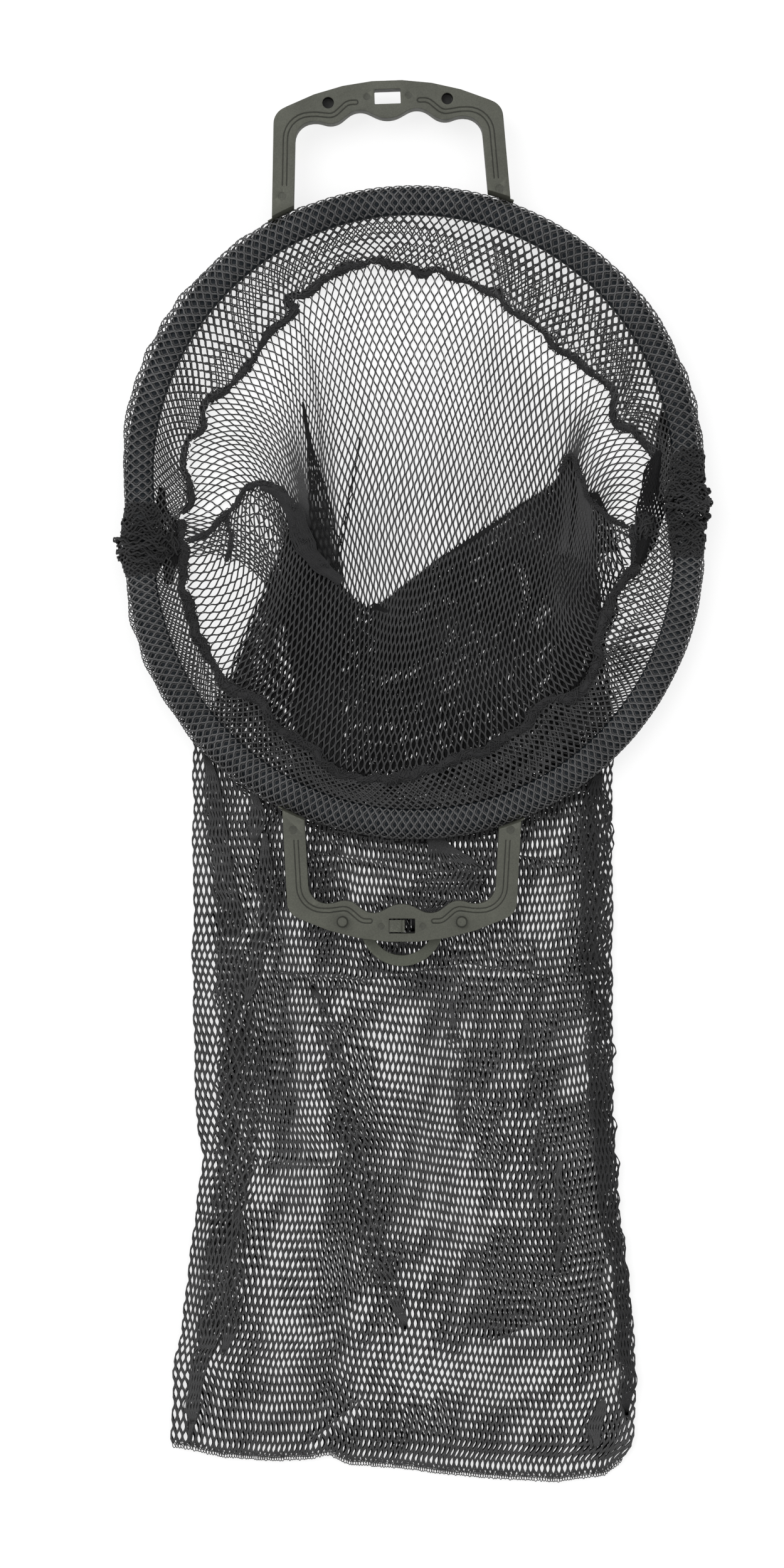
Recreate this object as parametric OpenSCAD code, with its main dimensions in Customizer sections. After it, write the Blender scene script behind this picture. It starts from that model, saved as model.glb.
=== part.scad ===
// Mesh catch bag with a folding hoop and two snap handles, laid flat and opened out.
// The hinge line of the hoop passes over the origin, the floor is Z = 0, the bag runs
// towards -Y and the free handle lies towards +Y. All sizes are in millimetres.

/* [Hoop] */
// Radius of each half hoop, to the middle of its tube
hoop_r = 145; // [130:1:160]
// Straight run of each half hoop between its arc and the hinge line
hoop_straight = 20; // [18:0.5:40]
// Sideways step from the middle of the handles to the middle of the hoop
hoop_shift = 6.5; // [0:0.1:9]
// Lean of the hinge line from the X axis, in degrees
hinge_lean = 1; // [0:0.1:1.4]
// Outer diameter of the soft tube over the hoop wire
tube_d = 14.5; // [13:0.1:17]
// Diameter of the steel hoop wire
wire_d = 5; // [3:0.1:5.6]

/* [Hinges] */
// Thickness of each hinge lug
lug_t = 3; // [2:0.1:4]
// Radius of the round head of a hinge lug
lug_head_r = 5; // [4:0.1:5.6]
// Diameter of the hinge pin
pin_d = 3; // [2:0.1:4]
// Diameter of the pin's rivet heads
pin_head_d = 6; // [5:0.1:8]
// Thickness of the pin's rivet heads
pin_head_t = 1.2; // [0.8:0.1:2]
// Length of the socket that holds the end of the hoop wire
socket_len = 8; // [6:0.5:8]
// Outer diameter of that socket
socket_d = 11; // [9:0.1:12]

/* [Handles] */
// Distance from the hinge line to the crown of each handle
handle_reach = 228; // [216:1:260]
// Width of a handle across its shoulders
handle_w = 121; // [115:1:130]
// Thickness of a handle
handle_t = 8; // [6:0.1:10]
// Width of a handle's leg
leg_w = 11.4; // [10:0.1:13]
// Outward splay of the legs, in degrees
leg_splay = 3; // [0:0.1:5]
// Radius of the crown's long outer curve
crown_r = 125; // [115:1:160]
// Slope of the crown where it meets the shoulders, in degrees
crown_slope = 25.3; // [20:0.1:27]
// Radius of the outer corner at each shoulder
shoulder_r = 9; // [4:0.5:10]
// Width of the latch window
window_w = 13.8; // [11:0.1:15]
// Height of the latch window
window_h = 7.8; // [6:0.1:8.6]
// Distance from the crown to the middle of the latch window
window_y = 8.6; // [7.5:0.1:9]
// Distance from the middle of the handle to each locating peg
peg_x = 31.5; // [28:0.1:33]
// Distance from the crown's tip to the middle of each locating peg
peg_y = 10.9; // [10.5:0.1:11.5]
// Diameter of a locating peg
peg_d = 5.6; // [4:0.1:6]
// Height of a locating peg above the mating face
peg_h = 3.4; // [2:0.1:4]
// Width of the raised line that follows the grip
bead_w = 2.8; // [2.2:0.1:3.2]
// Width of the fine grooves on both sides of that line
groove_w = 0.6; // [0.4:0.1:0.7]
// Depth of those grooves
groove_d = 0.5; // [0.3:0.1:0.8]

/* [Latch and hanging loop] */
// Length of the springy latch tongue in the window
tongue_len = 8.2; // [6:0.1:9]
// Thickness of the latch tongue
tongue_t = 2.6; // [2:0.1:4]
// Height of the catch on the tip of the tongue
catch_h = 1.6; // [1:0.1:2.5]
// Length of that catch
catch_len = 2; // [1.5:0.1:3]
// Slit around the tongue
tongue_slit = 0.7; // [0.5:0.1:1]
// Outer radius of the hanging loop
loop_r = 22.4; // [21:0.1:26]
// Width of the hanging loop's band
loop_band = 5.8; // [4:0.1:7]
// Thickness of the hanging loop
loop_t = 2.6; // [2:0.1:3]

/* [Net] */
// Thickness that the net sleeve takes up round the tube
net_t = 0.8; // [0.5:0.1:1]
// Thickness of one layer of netting with its slack, lying flat
layer_t = 1; // [0.8:0.1:1.2]
// Distance from the hoop's middle line to the gathered seam, at the hinges
seam_side = 20; // [16:0.5:30]
// Distance from the hoop's middle line to the gathered seam, at the handles
seam_end = 29; // [20:0.5:40]
// Diameter of the gathered seam
seam_d = 4.2; // [3:0.1:5]
// Size of the seam's ripples
ripple = 1.6; // [0:0.1:2]
// Width of the bag below the hoop
bag_w = 226; // [200:1:250]
// Extra width of the bag at its bottom edge
bag_flare = 24; // [0:1:40]
// Distance from the hinge line to the bottom edge of the bag
bag_len = 513; // [420:1:700]
// Height of the slack netting of the bag below the hoop
bag_t = 6; // [4:0.1:7]
// Outer radius of the bunched netting beside each hinge
gather_r = 12; // [10:0.1:13]
// Length of that bunched netting along the tube
gather_len = 16; // [10:0.5:17]
// Distance above the hinge line at which the back wall starts to follow the upper half
split = 32; // [28:1:45]
// Distance below the hinge line at which the closed bag begins
bag_top = 100; // [90:1:110]
// Number of mesh openings across the bag in the solids
bag_cols = 11; // [7:2:11]
// Number of mesh openings across the mouth in the solids
mouth_cols = 11; // [7:2:11]
// Solid border round each meshed area
net_rim = 6; // [4:0.5:10]

/* [Hidden] */

plastic_colour = [0.35, 0.36, 0.31];
tube_colour = [0.17, 0.19, 0.21];
steel_colour = [0.62, 0.63, 0.65];
net_colour = [0.22, 0.22, 0.23];
seam_colour = [0.16, 0.16, 0.17];

$fn = 48;
gap = 0.3;
fit_gap = 0.1;
pin_gap = 0.05;
over = 1;
arc_steps = 7;
seam_sides = 8;
ripple_count = 18;
// Mesh openings: length over width, and the share of the pitch that is open, where the net
// is one layer and where the slack bag's two layers cross.
mesh_stretch = 1.4;
slack_stretch = 1.9;
mesh_open = 0.78;
slack_open = 0.6;

tube_r = tube_d / 2;
wire_r = wire_d / 2;
sleeve_in = tube_r + gap;
sleeve_out = sleeve_in + net_t;

// Heights: two layers of the bag pass under the lower half hoop, and the hinge line lies
// just over the sleeve, so that the folded halves lie on each other.
under_hoop = 2 * layer_t + gap;
hoop_z = under_hoop + gap + sleeve_out;
hinge_z = hoop_z + sleeve_out + gap;
mate_z = hinge_z - fit_gap;
handle_z = mate_z - handle_t;

left_x = hoop_shift - hoop_r;
right_x = hoop_shift + hoop_r;
// Along the wire from the hinge line: the lug's flange, the end of the tube, the socket's end.
flange_t = 1.6;
lug_start = lug_head_r + gap;
tube_stop = lug_start + flange_t + gap;
lug_end = tube_stop + socket_len;
gather_end = tube_stop + gather_len;

// ---- Outlines ----

function unit(v) = v / norm(v);
function angle_of(v) = atan2(v[1], v[0]);
function wrap(a) = a > 180 ? a - 360 : (a < -180 ? a + 360 : a);

// Points of the arc that rounds corner b, between its neighbours a and c.
function corner(a, b, c, r) =
    let (
        u = unit(a - b),
        w = unit(c - b),
        half = acos(u * w) / 2,
        centre = b + unit(u + w) * r / sin(half),
        from = angle_of(b + u * r / tan(half) - centre),
        turn = wrap(angle_of(b + w * r / tan(half) - centre) - from)
    )
    [for (i = [0:arc_steps]) centre + r * [cos(from + turn * i / arc_steps), sin(from + turn * i / arc_steps)]];

function flat_of(p) = [p[0], p[1]];

// An open path through [x, y, radius] corners, with its two ends left sharp.
function rounded(path) = [
    flat_of(path[0]),
    for (i = [1:len(path) - 2])
        each corner(flat_of(path[i - 1]), flat_of(path[i]), flat_of(path[i + 1]), path[i][2]),
    flat_of(path[len(path) - 1])
];

function reversed(list) = [for (i = [len(list) - 1:-1:0]) list[i]];
function mirrored(list) = [for (p = list) [-p[0], p[1]]];

// A path moved sideways to its left by a distance.
function shifted(path, by) = [
    for (i = [0:len(path) - 1])
        let (
            along = unit(path[min(i + 1, len(path) - 1)] - path[max(i - 1, 0)])
        )
        path[i] + by * [-along[1], along[0]]
];

// ---- Placing ----

// Draws the upper half's piece from the lower half's, as its mirror image in the hinge line.
module across_hinge() {
    rotate([0, 0, hinge_lean])
        mirror([0, 1, 0])
            rotate([0, 0, -hinge_lean])
                children();
}

// Where the hinge line passes a given X.
function hinge_y(x) = x * tan(hinge_lean);

// A frame with its X axis along the hinge line, over a hoop end.
module at_hinge(x) {
    translate([x, hinge_y(x), 0])
        rotate([0, 0, hinge_lean])
            children();
}

// Handle outlines have their origin at the crown and +Y towards the hoop.
module at_handle() {
    translate([0, -handle_reach, 0])
        children();
}

// ---- Hoop ----

// A round bar of radius r along the lower half hoop, ending a distance short of the hinge line.
module hoop_bar(r, short) {
    translate([hoop_shift, -hoop_straight, hoop_z]) {
        rotate([0, 0, 180])
            rotate_extrude(angle = 180, $fn = 128)
                translate([hoop_r, 0])
                    circle(r = r);
    }
    for (x = [left_x, right_x])
        translate([x, -hoop_straight, hoop_z])
            rotate([-90, 0, 0])
                cylinder(r = r, h = hoop_straight + hinge_y(x) - short);
}

shoulder_x = handle_w / 2;
shoulder_y = shoulder_x * tan(crown_slope) - crown_r * (1 / cos(crown_slope) - 1);

// Distance from the crown to the hoop wire at a leg, and the leg's middle there.
leg_reach = handle_reach - hoop_straight - sqrt(hoop_r * hoop_r - shoulder_x * shoulder_x);
leg_x = shoulder_x - leg_w / 2 + (leg_reach - shoulder_y) * tan(leg_splay);

// Angle round the hoop at which a leg reaches it, from straight down.
function leg_angle(side) = asin((side * leg_x - hoop_shift) / hoop_r);

// A frame on the hoop wire at a leg, with +X along the wire and -Y out of the hoop.
module at_leg(side) {
    a = leg_angle(side);
    translate([hoop_shift + hoop_r * sin(a), -hoop_straight - hoop_r * cos(a), hoop_z])
        rotate([0, 0, a])
            children();
}

eye_r = tube_r - 2.4;
eye_len = 8;
neck_w = 8;
neck_z = handle_z - hoop_z;
neck_t = min(4, eye_r - neck_z);

// The eye of a leg round the wire and its neck, grown by a clearance.
module leg_eye(side, grow) {
    at_leg(side) {
        rotate([0, 90, 0])
            cylinder(r = eye_r + grow, h = eye_len + 2 * grow, center = true);
        translate([-neck_w / 2 - grow, -sleeve_out - gap - over, neck_z - grow])
            cube([neck_w + 2 * grow, sleeve_out + gap + over, neck_t + 2 * grow]);
    }
}

module hoop_tube() {
    color(tube_colour)
        difference() {
            hoop_bar(tube_r, tube_stop);
            hoop_bar(wire_r + fit_gap, tube_stop - over);
            leg_eye(-1, gap);
            leg_eye(1, gap);
            for (x = [left_x, right_x])
                at_hinge(x)
                    translate([0, -lug_end - gap, hoop_z])
                        rotate([-90, 0, 0])
                            cylinder(d = socket_d + 2 * gap, h = socket_len + gap + over);
        }
}

module hoop_wire() {
    color(steel_colour)
        hoop_bar(wire_r, tube_stop + fit_gap);
}

module lower_wire() {
    hoop_wire();
}

module upper_wire() {
    across_hinge()
        hoop_wire();
}

module lower_tube() {
    hoop_tube();
}

module upper_tube() {
    across_hinge()
        hoop_tube();
}

// ---- Hinges ----

// A lug on the end of the lower half hoop's wire: a socket inside the tube, a flange that
// closes the tube's end, and a plate that stands on one side of the hinge's middle.
module hinge_lug(x, plate_side) {
    flange_y = -lug_start - flange_t;
    foot = socket_d * 0.35;
    brow = lug_head_r * 0.9;
    color(tube_colour)
        difference() {
            at_hinge(x) {
                translate([plate_side * (fit_gap + lug_t / 2), 0, hinge_z])
                    rotate([0, 90, 0])
                        cylinder(r = lug_head_r, h = lug_t, center = true);
                translate([plate_side * (fit_gap + lug_t / 2) - lug_t / 2, 0, 0])
                    rotate([90, 0, 90])
                        linear_extrude(lug_t)
                            polygon([
                                [flange_y, hoop_z - foot],
                                [-lug_start + over, hoop_z - foot],
                                [0, hinge_z - brow],
                                [0, hinge_z],
                                [-brow, hinge_z],
                                [flange_y, hoop_z + foot]
                            ]);
                translate([0, flange_y, hoop_z])
                    rotate([-90, 0, 0])
                        cylinder(r = tube_r, h = flange_t);
                translate([0, -lug_end, hoop_z])
                    rotate([-90, 0, 0])
                        cylinder(d = socket_d, h = lug_end + flange_y + over);
            }
            at_hinge(x)
                translate([-lug_t - over, 0, hinge_z])
                    rotate([0, 90, 0])
                        cylinder(d = pin_d + 2 * pin_gap, h = 2 * (lug_t + over));
            translate([x, hinge_y(x) - lug_end - over, hoop_z])
                rotate([-90, 0, 0])
                    cylinder(r = wire_r + 2 * fit_gap, h = socket_len + over);
        }
}

module lower_left_lug() {
    hinge_lug(left_x, -1);
}

module lower_right_lug() {
    hinge_lug(right_x, 1);
}

module upper_left_lug() {
    across_hinge()
        hinge_lug(left_x, 1);
}

module upper_right_lug() {
    across_hinge()
        hinge_lug(right_x, -1);
}

module hinge_pin(x) {
    shank = 2 * (lug_t + 2 * fit_gap);
    color(steel_colour)
        at_hinge(x)
            translate([0, 0, hinge_z])
                rotate([0, 90, 0]) {
                    cylinder(d = pin_d, h = shank, center = true);
                    for (side = [-1, 1])
                        translate([0, 0, side * (shank + pin_head_t) / 2])
                            cylinder(d = pin_head_d, h = pin_head_t, center = true);
                }
}

module left_hinge_pin() {
    hinge_pin(left_x);
}

module right_hinge_pin() {
    hinge_pin(right_x);
}

// ---- Handles ----

leg_run = handle_reach - hoop_straight - hoop_r + tube_d;
splay_x = leg_run * tan(leg_splay);
inner_x = shoulder_x - leg_w;

// The outer edge, from one leg round the crown to the other.
handle_edge = rounded([
    [shoulder_x + splay_x, shoulder_y + leg_run, 0],
    [shoulder_x, shoulder_y, shoulder_r],
    [0, shoulder_y - shoulder_x * tan(crown_slope), crown_r],
    [-shoulder_x, shoulder_y, shoulder_r],
    [-shoulder_x - splay_x, shoulder_y + leg_run, 0]
]);

// One half of the grip's edge, from its middle bump over two finger scallops to the leg.
bump_y = 22;
bump_r = 14;
scallop_x = 16;
scallop_y = 13.6;
knuckle_x = 28.5;
knuckle_y = 23.2;
finger_r = 10;
shallow_x = 37;
shallow_y = 20.3;
corner_y = 20.8;
grip_corner_r = 10;

grip_half = rounded([
    [-scallop_x, scallop_y, 0],
    [0, bump_y, bump_r],
    [scallop_x, scallop_y, finger_r],
    [knuckle_x, knuckle_y, finger_r],
    [shallow_x, shallow_y, bump_r],
    [inner_x, corner_y, grip_corner_r],
    [inner_x + splay_x, shoulder_y + leg_run + over, 0]
]);
grip_right = [for (i = [1:len(grip_half) - 1]) if (grip_half[i][0] >= 0) grip_half[i]];

// The raised line beside the grip: from the window out to the leg and along it.
bead_start = 2.4;
bead_over = 5.2;
bead_side = 4;
bead_turn_r = 6;
bead_in = (leg_w - 1.6) / 2;
bead_path = rounded([
    [scallop_x + 0.8, scallop_y - bead_start, 0],
    [scallop_x + bead_over, scallop_y - bead_start, bead_turn_r],
    [knuckle_x + 0.5, knuckle_y - bead_over, bead_turn_r],
    [shallow_x + 1, corner_y - bead_side, bead_turn_r],
    [inner_x + bead_in, corner_y - bead_side, grip_corner_r + bead_side - 1],
    [inner_x + bead_in + splay_x * 0.5, shoulder_y + leg_run * 0.5, 0]
]);

module strip(path, w, tail) {
    last = len(path) - 1;
    run_on = path[last] + tail * unit(path[last] - path[last - 1]);
    long = [for (i = [0:last - 1]) path[i], run_on];
    polygon(concat(shifted(long, w / 2), reversed(shifted(long, -w / 2))));
    translate(path[0])
        circle(d = w, $fn = 24);
}

module bead_grooves() {
    for (flip = [0, 1])
        mirror([flip, 0])
            difference() {
                strip(bead_path, bead_w, 0);
                strip(bead_path, bead_w - 2 * groove_w, over);
            }
}

module handle_outline() {
    difference() {
        polygon(handle_edge);
        polygon(concat(grip_right, reversed(mirrored(grip_right))));
        translate([0, window_y])
            square([window_w, window_h], center = true);
        translate([hoop_shift, handle_reach - hoop_straight])
            circle(r = hoop_r + sleeve_out + gap, $fn = 180);
    }
}

// A plain handle: outline, grooves and the two eyes on the hoop wire.
module handle_blank() {
    difference() {
        union() {
            at_handle()
                translate([0, 0, handle_z])
                    linear_extrude(handle_t)
                        handle_outline();
            for (side = [-1, 1])
                leg_eye(side, 0);
        }
        at_handle()
            translate([0, 0, mate_z - groove_d])
                linear_extrude(groove_d + over)
                    bead_grooves();
        hoop_bar(wire_r + fit_gap, tube_stop);
    }
}

module at_pegs() {
    for (side = [-1, 1])
        at_handle()
            translate([side * peg_x, peg_y, mate_z])
                children();
}

module lower_handle() {
    dome = peg_d * 0.3;
    color(plastic_colour)
        union() {
            handle_blank();
            at_pegs()
                rotate_extrude($fn = 32)
                    intersection() {
                        union() {
                            translate([0, -over])
                                square([peg_d / 2, peg_h - dome + over]);
                            translate([0, peg_h - dome])
                                circle(d = peg_d);
                        }
                        translate([0, -over])
                            square([peg_d, peg_h + over]);
                    }
        }
}

module upper_handle() {
    color(plastic_colour)
        across_hinge()
            difference() {
                handle_blank();
                at_pegs()
                    translate([0, 0, -peg_h - gap])
                        cylinder(d = peg_d + 4 * fit_gap, h = peg_h + gap + over);
            }
}

// The springy tongue fills the root side of the lower window, with a catch on its tip.
module latch_tongue() {
    root_x = -window_w / 2 + fit_gap;
    tongue_w = window_h - 2 * tongue_slit;
    color(plastic_colour)
        at_handle()
            translate([root_x, window_y, mate_z - tongue_t])
                rotate([90, 0, 0])
                    linear_extrude(tongue_w, center = true)
                        polygon([
                            [0, 0],
                            [tongue_len, 0],
                            [tongue_len, tongue_t + catch_h],
                            [tongue_len - catch_len * 0.5, tongue_t + catch_h],
                            [tongue_len - catch_len, tongue_t],
                            [0, tongue_t]
                        ]);
}

// A half ring on the back of the lower handle, for a lanyard or a hook.
module hang_loop() {
    seat = shoulder_y - 3.4;
    color(plastic_colour)
        at_handle()
            translate([0, 0, handle_z - loop_t])
                linear_extrude(loop_t)
                    intersection() {
                        translate([0, window_y + 0.7])
                            difference() {
                                circle(r = loop_r, $fn = 96);
                                circle(r = loop_r - loop_band, $fn = 96);
                            }
                        translate([-loop_r - over, -loop_r * 2])
                            square([2 * (loop_r + over), loop_r * 2 + seat]);
                    }
}

// ---- Netting ----

// The sleeve of netting round the tube, with slots for the handle's two necks.
module net_sleeve() {
    color(net_colour)
        difference() {
            hoop_bar(sleeve_out, tube_stop);
            hoop_bar(sleeve_in, tube_stop - over);
            leg_eye(-1, gap);
            leg_eye(1, gap);
        }
}

module lower_sleeve() {
    net_sleeve();
}

module upper_sleeve() {
    across_hinge()
        net_sleeve();
}

seam_a = hoop_r - seam_side;
seam_b = hoop_straight + hoop_r - seam_end;
seam_r = seam_d / 2;
seam_z = layer_t + gap + seam_r;

// Angles round the middle of the hoop: one step along the seam, where the seam ends short of
// the hinge line, and how far the area inside it runs on past that end.
step_deg = 3;
seam_end_deg = 6;
run_on_deg = 18;

// A point of the gathered seam in plan, moved outwards by a distance.
function seam_point(t, out) =
    let (wave = ripple * sin(ripple_count * t))
    [hoop_shift + (seam_a + wave + out) * cos(t), (seam_b + wave + out) * sin(t)];

// The seam's lower half in plan, made longer at both ends by an angle.
function seam_path(out, more_deg) =
    [for (t = [180 + seam_end_deg - more_deg:step_deg:360 - seam_end_deg + more_deg]) seam_point(t, out)];

// The part of a plan below the hinge line, and a little over it where halves are joined.
module below_hinge(past) {
    intersection() {
        children();
        rotate(hinge_lean)
            translate([-2 * hoop_r, -2 * hoop_r])
                square([4 * hoop_r, 2 * hoop_r + past]);
    }
}

// The area inside the lower half of the seam, up to the hinge line.
module seam_area(out, past) {
    below_hinge(past)
        polygon(seam_path(out, run_on_deg));
}

// The double netting between the tube and the gathered seam.
module net_web() {
    web_r = hoop_r - sleeve_out * 0.53;
    color(net_colour)
        translate([0, 0, under_hoop + gap])
            linear_extrude(layer_t)
                difference() {
                    below_hinge(-gather_end - gap) {
                        translate([hoop_shift, -hoop_straight])
                            circle(r = web_r, $fn = 128);
                        translate([hoop_shift - web_r, -hoop_straight])
                            square([2 * web_r, hoop_straight]);
                    }
                    seam_area(seam_r + gap, 0);
                }
}

module lower_web() {
    net_web();
}

module upper_web() {
    across_hinge()
        net_web();
}

// The gathered seam, as one tube swept along its rippled path.
module gathered_seam() {
    path = seam_path(0, 0);
    last = len(path) - 1;
    rings = [
        for (i = [0:last])
            let (
                along = unit(path[min(i + 1, last)] - path[max(i - 1, 0)]),
                across = [-along[1], along[0]]
            )
            each [
                for (j = [0:seam_sides - 1])
                    let (a = 360 * j / seam_sides + 180 / seam_sides)
                    [
                        path[i][0] + seam_r * cos(a) * across[0],
                        path[i][1] + seam_r * cos(a) * across[1],
                        seam_z + seam_r * sin(a)
                    ]
            ]
    ];
    walls = [
        for (i = [0:last - 1], j = [0:seam_sides - 1])
            let (
                a = i * seam_sides + j,
                b = i * seam_sides + (j + 1) % seam_sides
            )
            each [[a, b + seam_sides, b], [a, a + seam_sides, b + seam_sides]]
    ];
    start_cap = [for (j = [1:seam_sides - 2]) [0, j, j + 1]];
    end_first = last * seam_sides;
    end_cap = [for (j = [1:seam_sides - 2]) [end_first, end_first + j + 1, end_first + j]];
    color(seam_colour)
        polyhedron(points = rings, faces = concat(walls, start_cap, end_cap));
}

module lower_seam() {
    gathered_seam();
}

module upper_seam() {
    across_hinge()
        gathered_seam();
}

// Bunched netting round the end of the lower half hoop, beside its hinge.
module hinge_gather(x) {
    swell = gather_r - sleeve_out;
    belly_r = (gather_len * gather_len / 4 + swell * swell) / (2 * swell);
    color(seam_colour)
        intersection() {
            translate([x, hinge_y(x) - gather_end, hoop_z])
                rotate([-90, 0, 0])
                    rotate_extrude()
                        intersection() {
                            translate([gather_r - belly_r, gather_len / 2])
                                circle(r = belly_r, $fn = 96);
                            translate([sleeve_out + gap, gap])
                                square([gather_r, gather_len - 2 * gap]);
                        }
            translate([x - 2 * gather_r, -4 * gather_r, 0])
                cube([4 * gather_r, 8 * gather_r, mate_z - gap]);
        }
}

module left_gather() {
    hinge_gather(left_x);
}

module right_gather() {
    hinge_gather(right_x);
}

// ---- Mesh, drawn coarser than the real one ----

mouth_cell = 2 * (seam_a - net_rim) / mouth_cols * [1, mesh_stretch];
bag_cell = (bag_w - 2 * net_rim) / bag_cols * [1, slack_stretch];
mouth_oval = [seam_a - net_rim, seam_b - net_rim];

// One diamond opening, where all of it lies inside the oval.
module net_cell(at, half, oval) {
    sideways = norm([(abs(at[0]) + half[0]) / oval[0], at[1] / oval[1]]);
    lengthways = norm([at[0] / oval[0], (abs(at[1]) + half[1]) / oval[1]]);
    if (max(sideways, lengthways) < 1)
        translate(at)
            polygon([[half[0], 0], [0, half[1]], [-half[0], 0], [0, -half[1]]]);
}

// Openings in staggered rows, between two lines across the net, the first one the higher.
module net_cells(cell, share, cols, from_y, to_y, oval) {
    half = share * cell / 2;
    step = cell[1] / 2;
    rows = floor((from_y - to_y - 2 * half[1]) / step);
    side = (cols - 1) / 2;
    for (row = [0:rows])
        for (col = [-side:side - row % 2])
            net_cell([(col + row % 2 / 2) * cell[0], from_y - half[1] - row * step], half, oval);
}

// The back wall inside the mouth, on the lower half hoop's side.
module back_panel() {
    color(net_colour)
        linear_extrude(layer_t)
            difference() {
                union() {
                    intersection() {
                        seam_area(0, over);
                        translate([-2 * hoop_r, -bag_top])
                            square([4 * hoop_r, 2 * bag_top]);
                    }
                    across_hinge()
                        intersection() {
                            seam_area(0, over);
                            translate([-2 * hoop_r, -split])
                                square([4 * hoop_r, 2 * split]);
                        }
                }
                translate([hoop_shift, 0])
                    net_cells(mouth_cell, mesh_open, mouth_cols, split - 1.5 * net_rim, net_rim - bag_top, mouth_oval);
            }
}

// The back wall inside the mouth, on the upper half hoop's side.
module upper_back_panel() {
    color(net_colour)
        across_hinge()
            linear_extrude(layer_t)
                difference() {
                    intersection() {
                        seam_area(0, 0);
                        translate([-2 * hoop_r, -2 * hoop_r])
                            square([4 * hoop_r, 2 * hoop_r - split - gap]);
                    }
                    translate([hoop_shift, 0])
                        net_cells(mouth_cell, mesh_open, mouth_cols, -split - gap - net_rim / 2, -seam_b, mouth_oval);
                }
}

// The folded edge of the slack front wall, in shares of the seam's half width and height.
fold_edge = [[-1.2, -0.06], [-0.86, -0.06], [-0.7, 0.1], [-0.54, 0.06], [-0.2, -0.35], [0.67, 0.19], [1.2, 0.02]];

// The slack front wall, folded down into a V inside the mouth.
module front_panel() {
    edge = [for (p = fold_edge) [hoop_shift + p[0] * seam_a, p[1] * seam_b]];
    color(net_colour)
        translate([0, 0, layer_t + gap])
            linear_extrude(2 * layer_t)
                intersection() {
                    union() {
                        seam_area(-seam_r - gap, over);
                        across_hinge()
                            seam_area(-seam_r - gap, over);
                    }
                    polygon(concat(edge, [[2 * hoop_r, -2 * hoop_r], [-2 * hoop_r, -2 * hoop_r]]));
                }
}

// The flattened bag: under the hoop its layers lie close, and below it they are slack.
module bag_body() {
    close_from = seam_b + seam_d;
    slack_from = hoop_straight + hoop_r + sleeve_out;
    rim = 4;
    slope = 12;
    low_w = bag_w + bag_flare;
    flare_y = -bag_len * 0.7;
    mesh_top = -slack_from - slope - net_rim;
    mesh_low = slope + net_rim - bag_len;
    whole = 2 * bag_len * [1, 1];
    color(net_colour)
        intersection() {
            rotate([90, 0, 90])
                translate([0, 0, -bag_w])
                    linear_extrude(2 * bag_w)
                        polygon([
                            [-bag_top - gap, 0],
                            [-bag_top - gap, layer_t],
                            [-close_from, layer_t],
                            [-close_from - under_hoop, under_hoop],
                            [-slack_from, under_hoop],
                            [-slack_from - slope, bag_t],
                            [-bag_len + slope, bag_t],
                            [-bag_len, layer_t * 2],
                            [-bag_len, 0]
                        ]);
            linear_extrude(bag_t + over)
                difference() {
                    polygon([
                        [-bag_w / 2 + rim, -bag_top],
                        [-bag_w / 2, -slack_from],
                        [-bag_w / 2, flare_y],
                        [-low_w / 2, -bag_len + rim],
                        [-low_w / 2 + rim, -bag_len],
                        [low_w / 2 - rim, -bag_len],
                        [low_w / 2, -bag_len + rim],
                        [bag_w / 2, flare_y],
                        [bag_w / 2, -slack_from],
                        [bag_w / 2 - rim, -bag_top]
                    ]);
                    net_cells(bag_cell, slack_open, bag_cols, mesh_top, mesh_low, whole);
                }
        }
}

lower_wire();
lower_tube();
lower_handle();
hang_loop();
latch_tongue();
lower_left_lug();
lower_right_lug();
left_hinge_pin();
right_hinge_pin();
lower_sleeve();
lower_web();
lower_seam();
left_gather();
right_gather();
back_panel();
front_panel();
bag_body();
upper_wire();
upper_tube();
upper_handle();
upper_left_lug();
upper_right_lug();
upper_sleeve();
upper_web();
upper_seam();
upper_back_panel();
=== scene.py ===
"""Mesh catch bag with a folding hoop, laid flat and opened out: its looks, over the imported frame.

Lengths here are millimetres in the row frame and become metres where a mesh is made.
"""
from math import atan2, cos, hypot, pi, radians, sin, tan

import bpy
import numpy as np
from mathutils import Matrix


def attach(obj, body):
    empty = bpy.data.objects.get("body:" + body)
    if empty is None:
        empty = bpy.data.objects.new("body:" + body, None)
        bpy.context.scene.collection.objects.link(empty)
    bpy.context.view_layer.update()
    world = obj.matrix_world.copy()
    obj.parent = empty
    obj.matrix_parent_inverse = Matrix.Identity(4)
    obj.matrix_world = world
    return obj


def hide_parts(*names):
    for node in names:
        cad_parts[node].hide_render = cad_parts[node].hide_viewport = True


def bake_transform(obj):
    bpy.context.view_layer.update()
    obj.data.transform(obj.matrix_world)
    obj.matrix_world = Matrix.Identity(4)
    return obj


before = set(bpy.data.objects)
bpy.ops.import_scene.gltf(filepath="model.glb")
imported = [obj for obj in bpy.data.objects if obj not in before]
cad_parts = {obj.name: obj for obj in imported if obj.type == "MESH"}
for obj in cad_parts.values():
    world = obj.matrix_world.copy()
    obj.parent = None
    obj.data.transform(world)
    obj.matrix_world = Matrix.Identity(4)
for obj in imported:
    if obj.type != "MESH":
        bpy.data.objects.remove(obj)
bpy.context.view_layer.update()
MM = 0.001

# ---- The object's sizes, as the source has them ----
HOOP_R = 145.0
STRAIGHT = 20.0
SHIFT = 6.5
HOOP_Z = 10.95
LEAN = radians(1.0)
HANDLE_REACH = 228.0
MATE_Z = 19.5
HOOP_LEN = 2 * STRAIGHT + pi * HOOP_R

UP = np.array([0.0, 0.0, 1.0])
SLACK = 0.04         # how unevenly the strands of a net lie, as a share of their swing
SHORTEST = 3         # points in the shortest run of a thread that is kept


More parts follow.
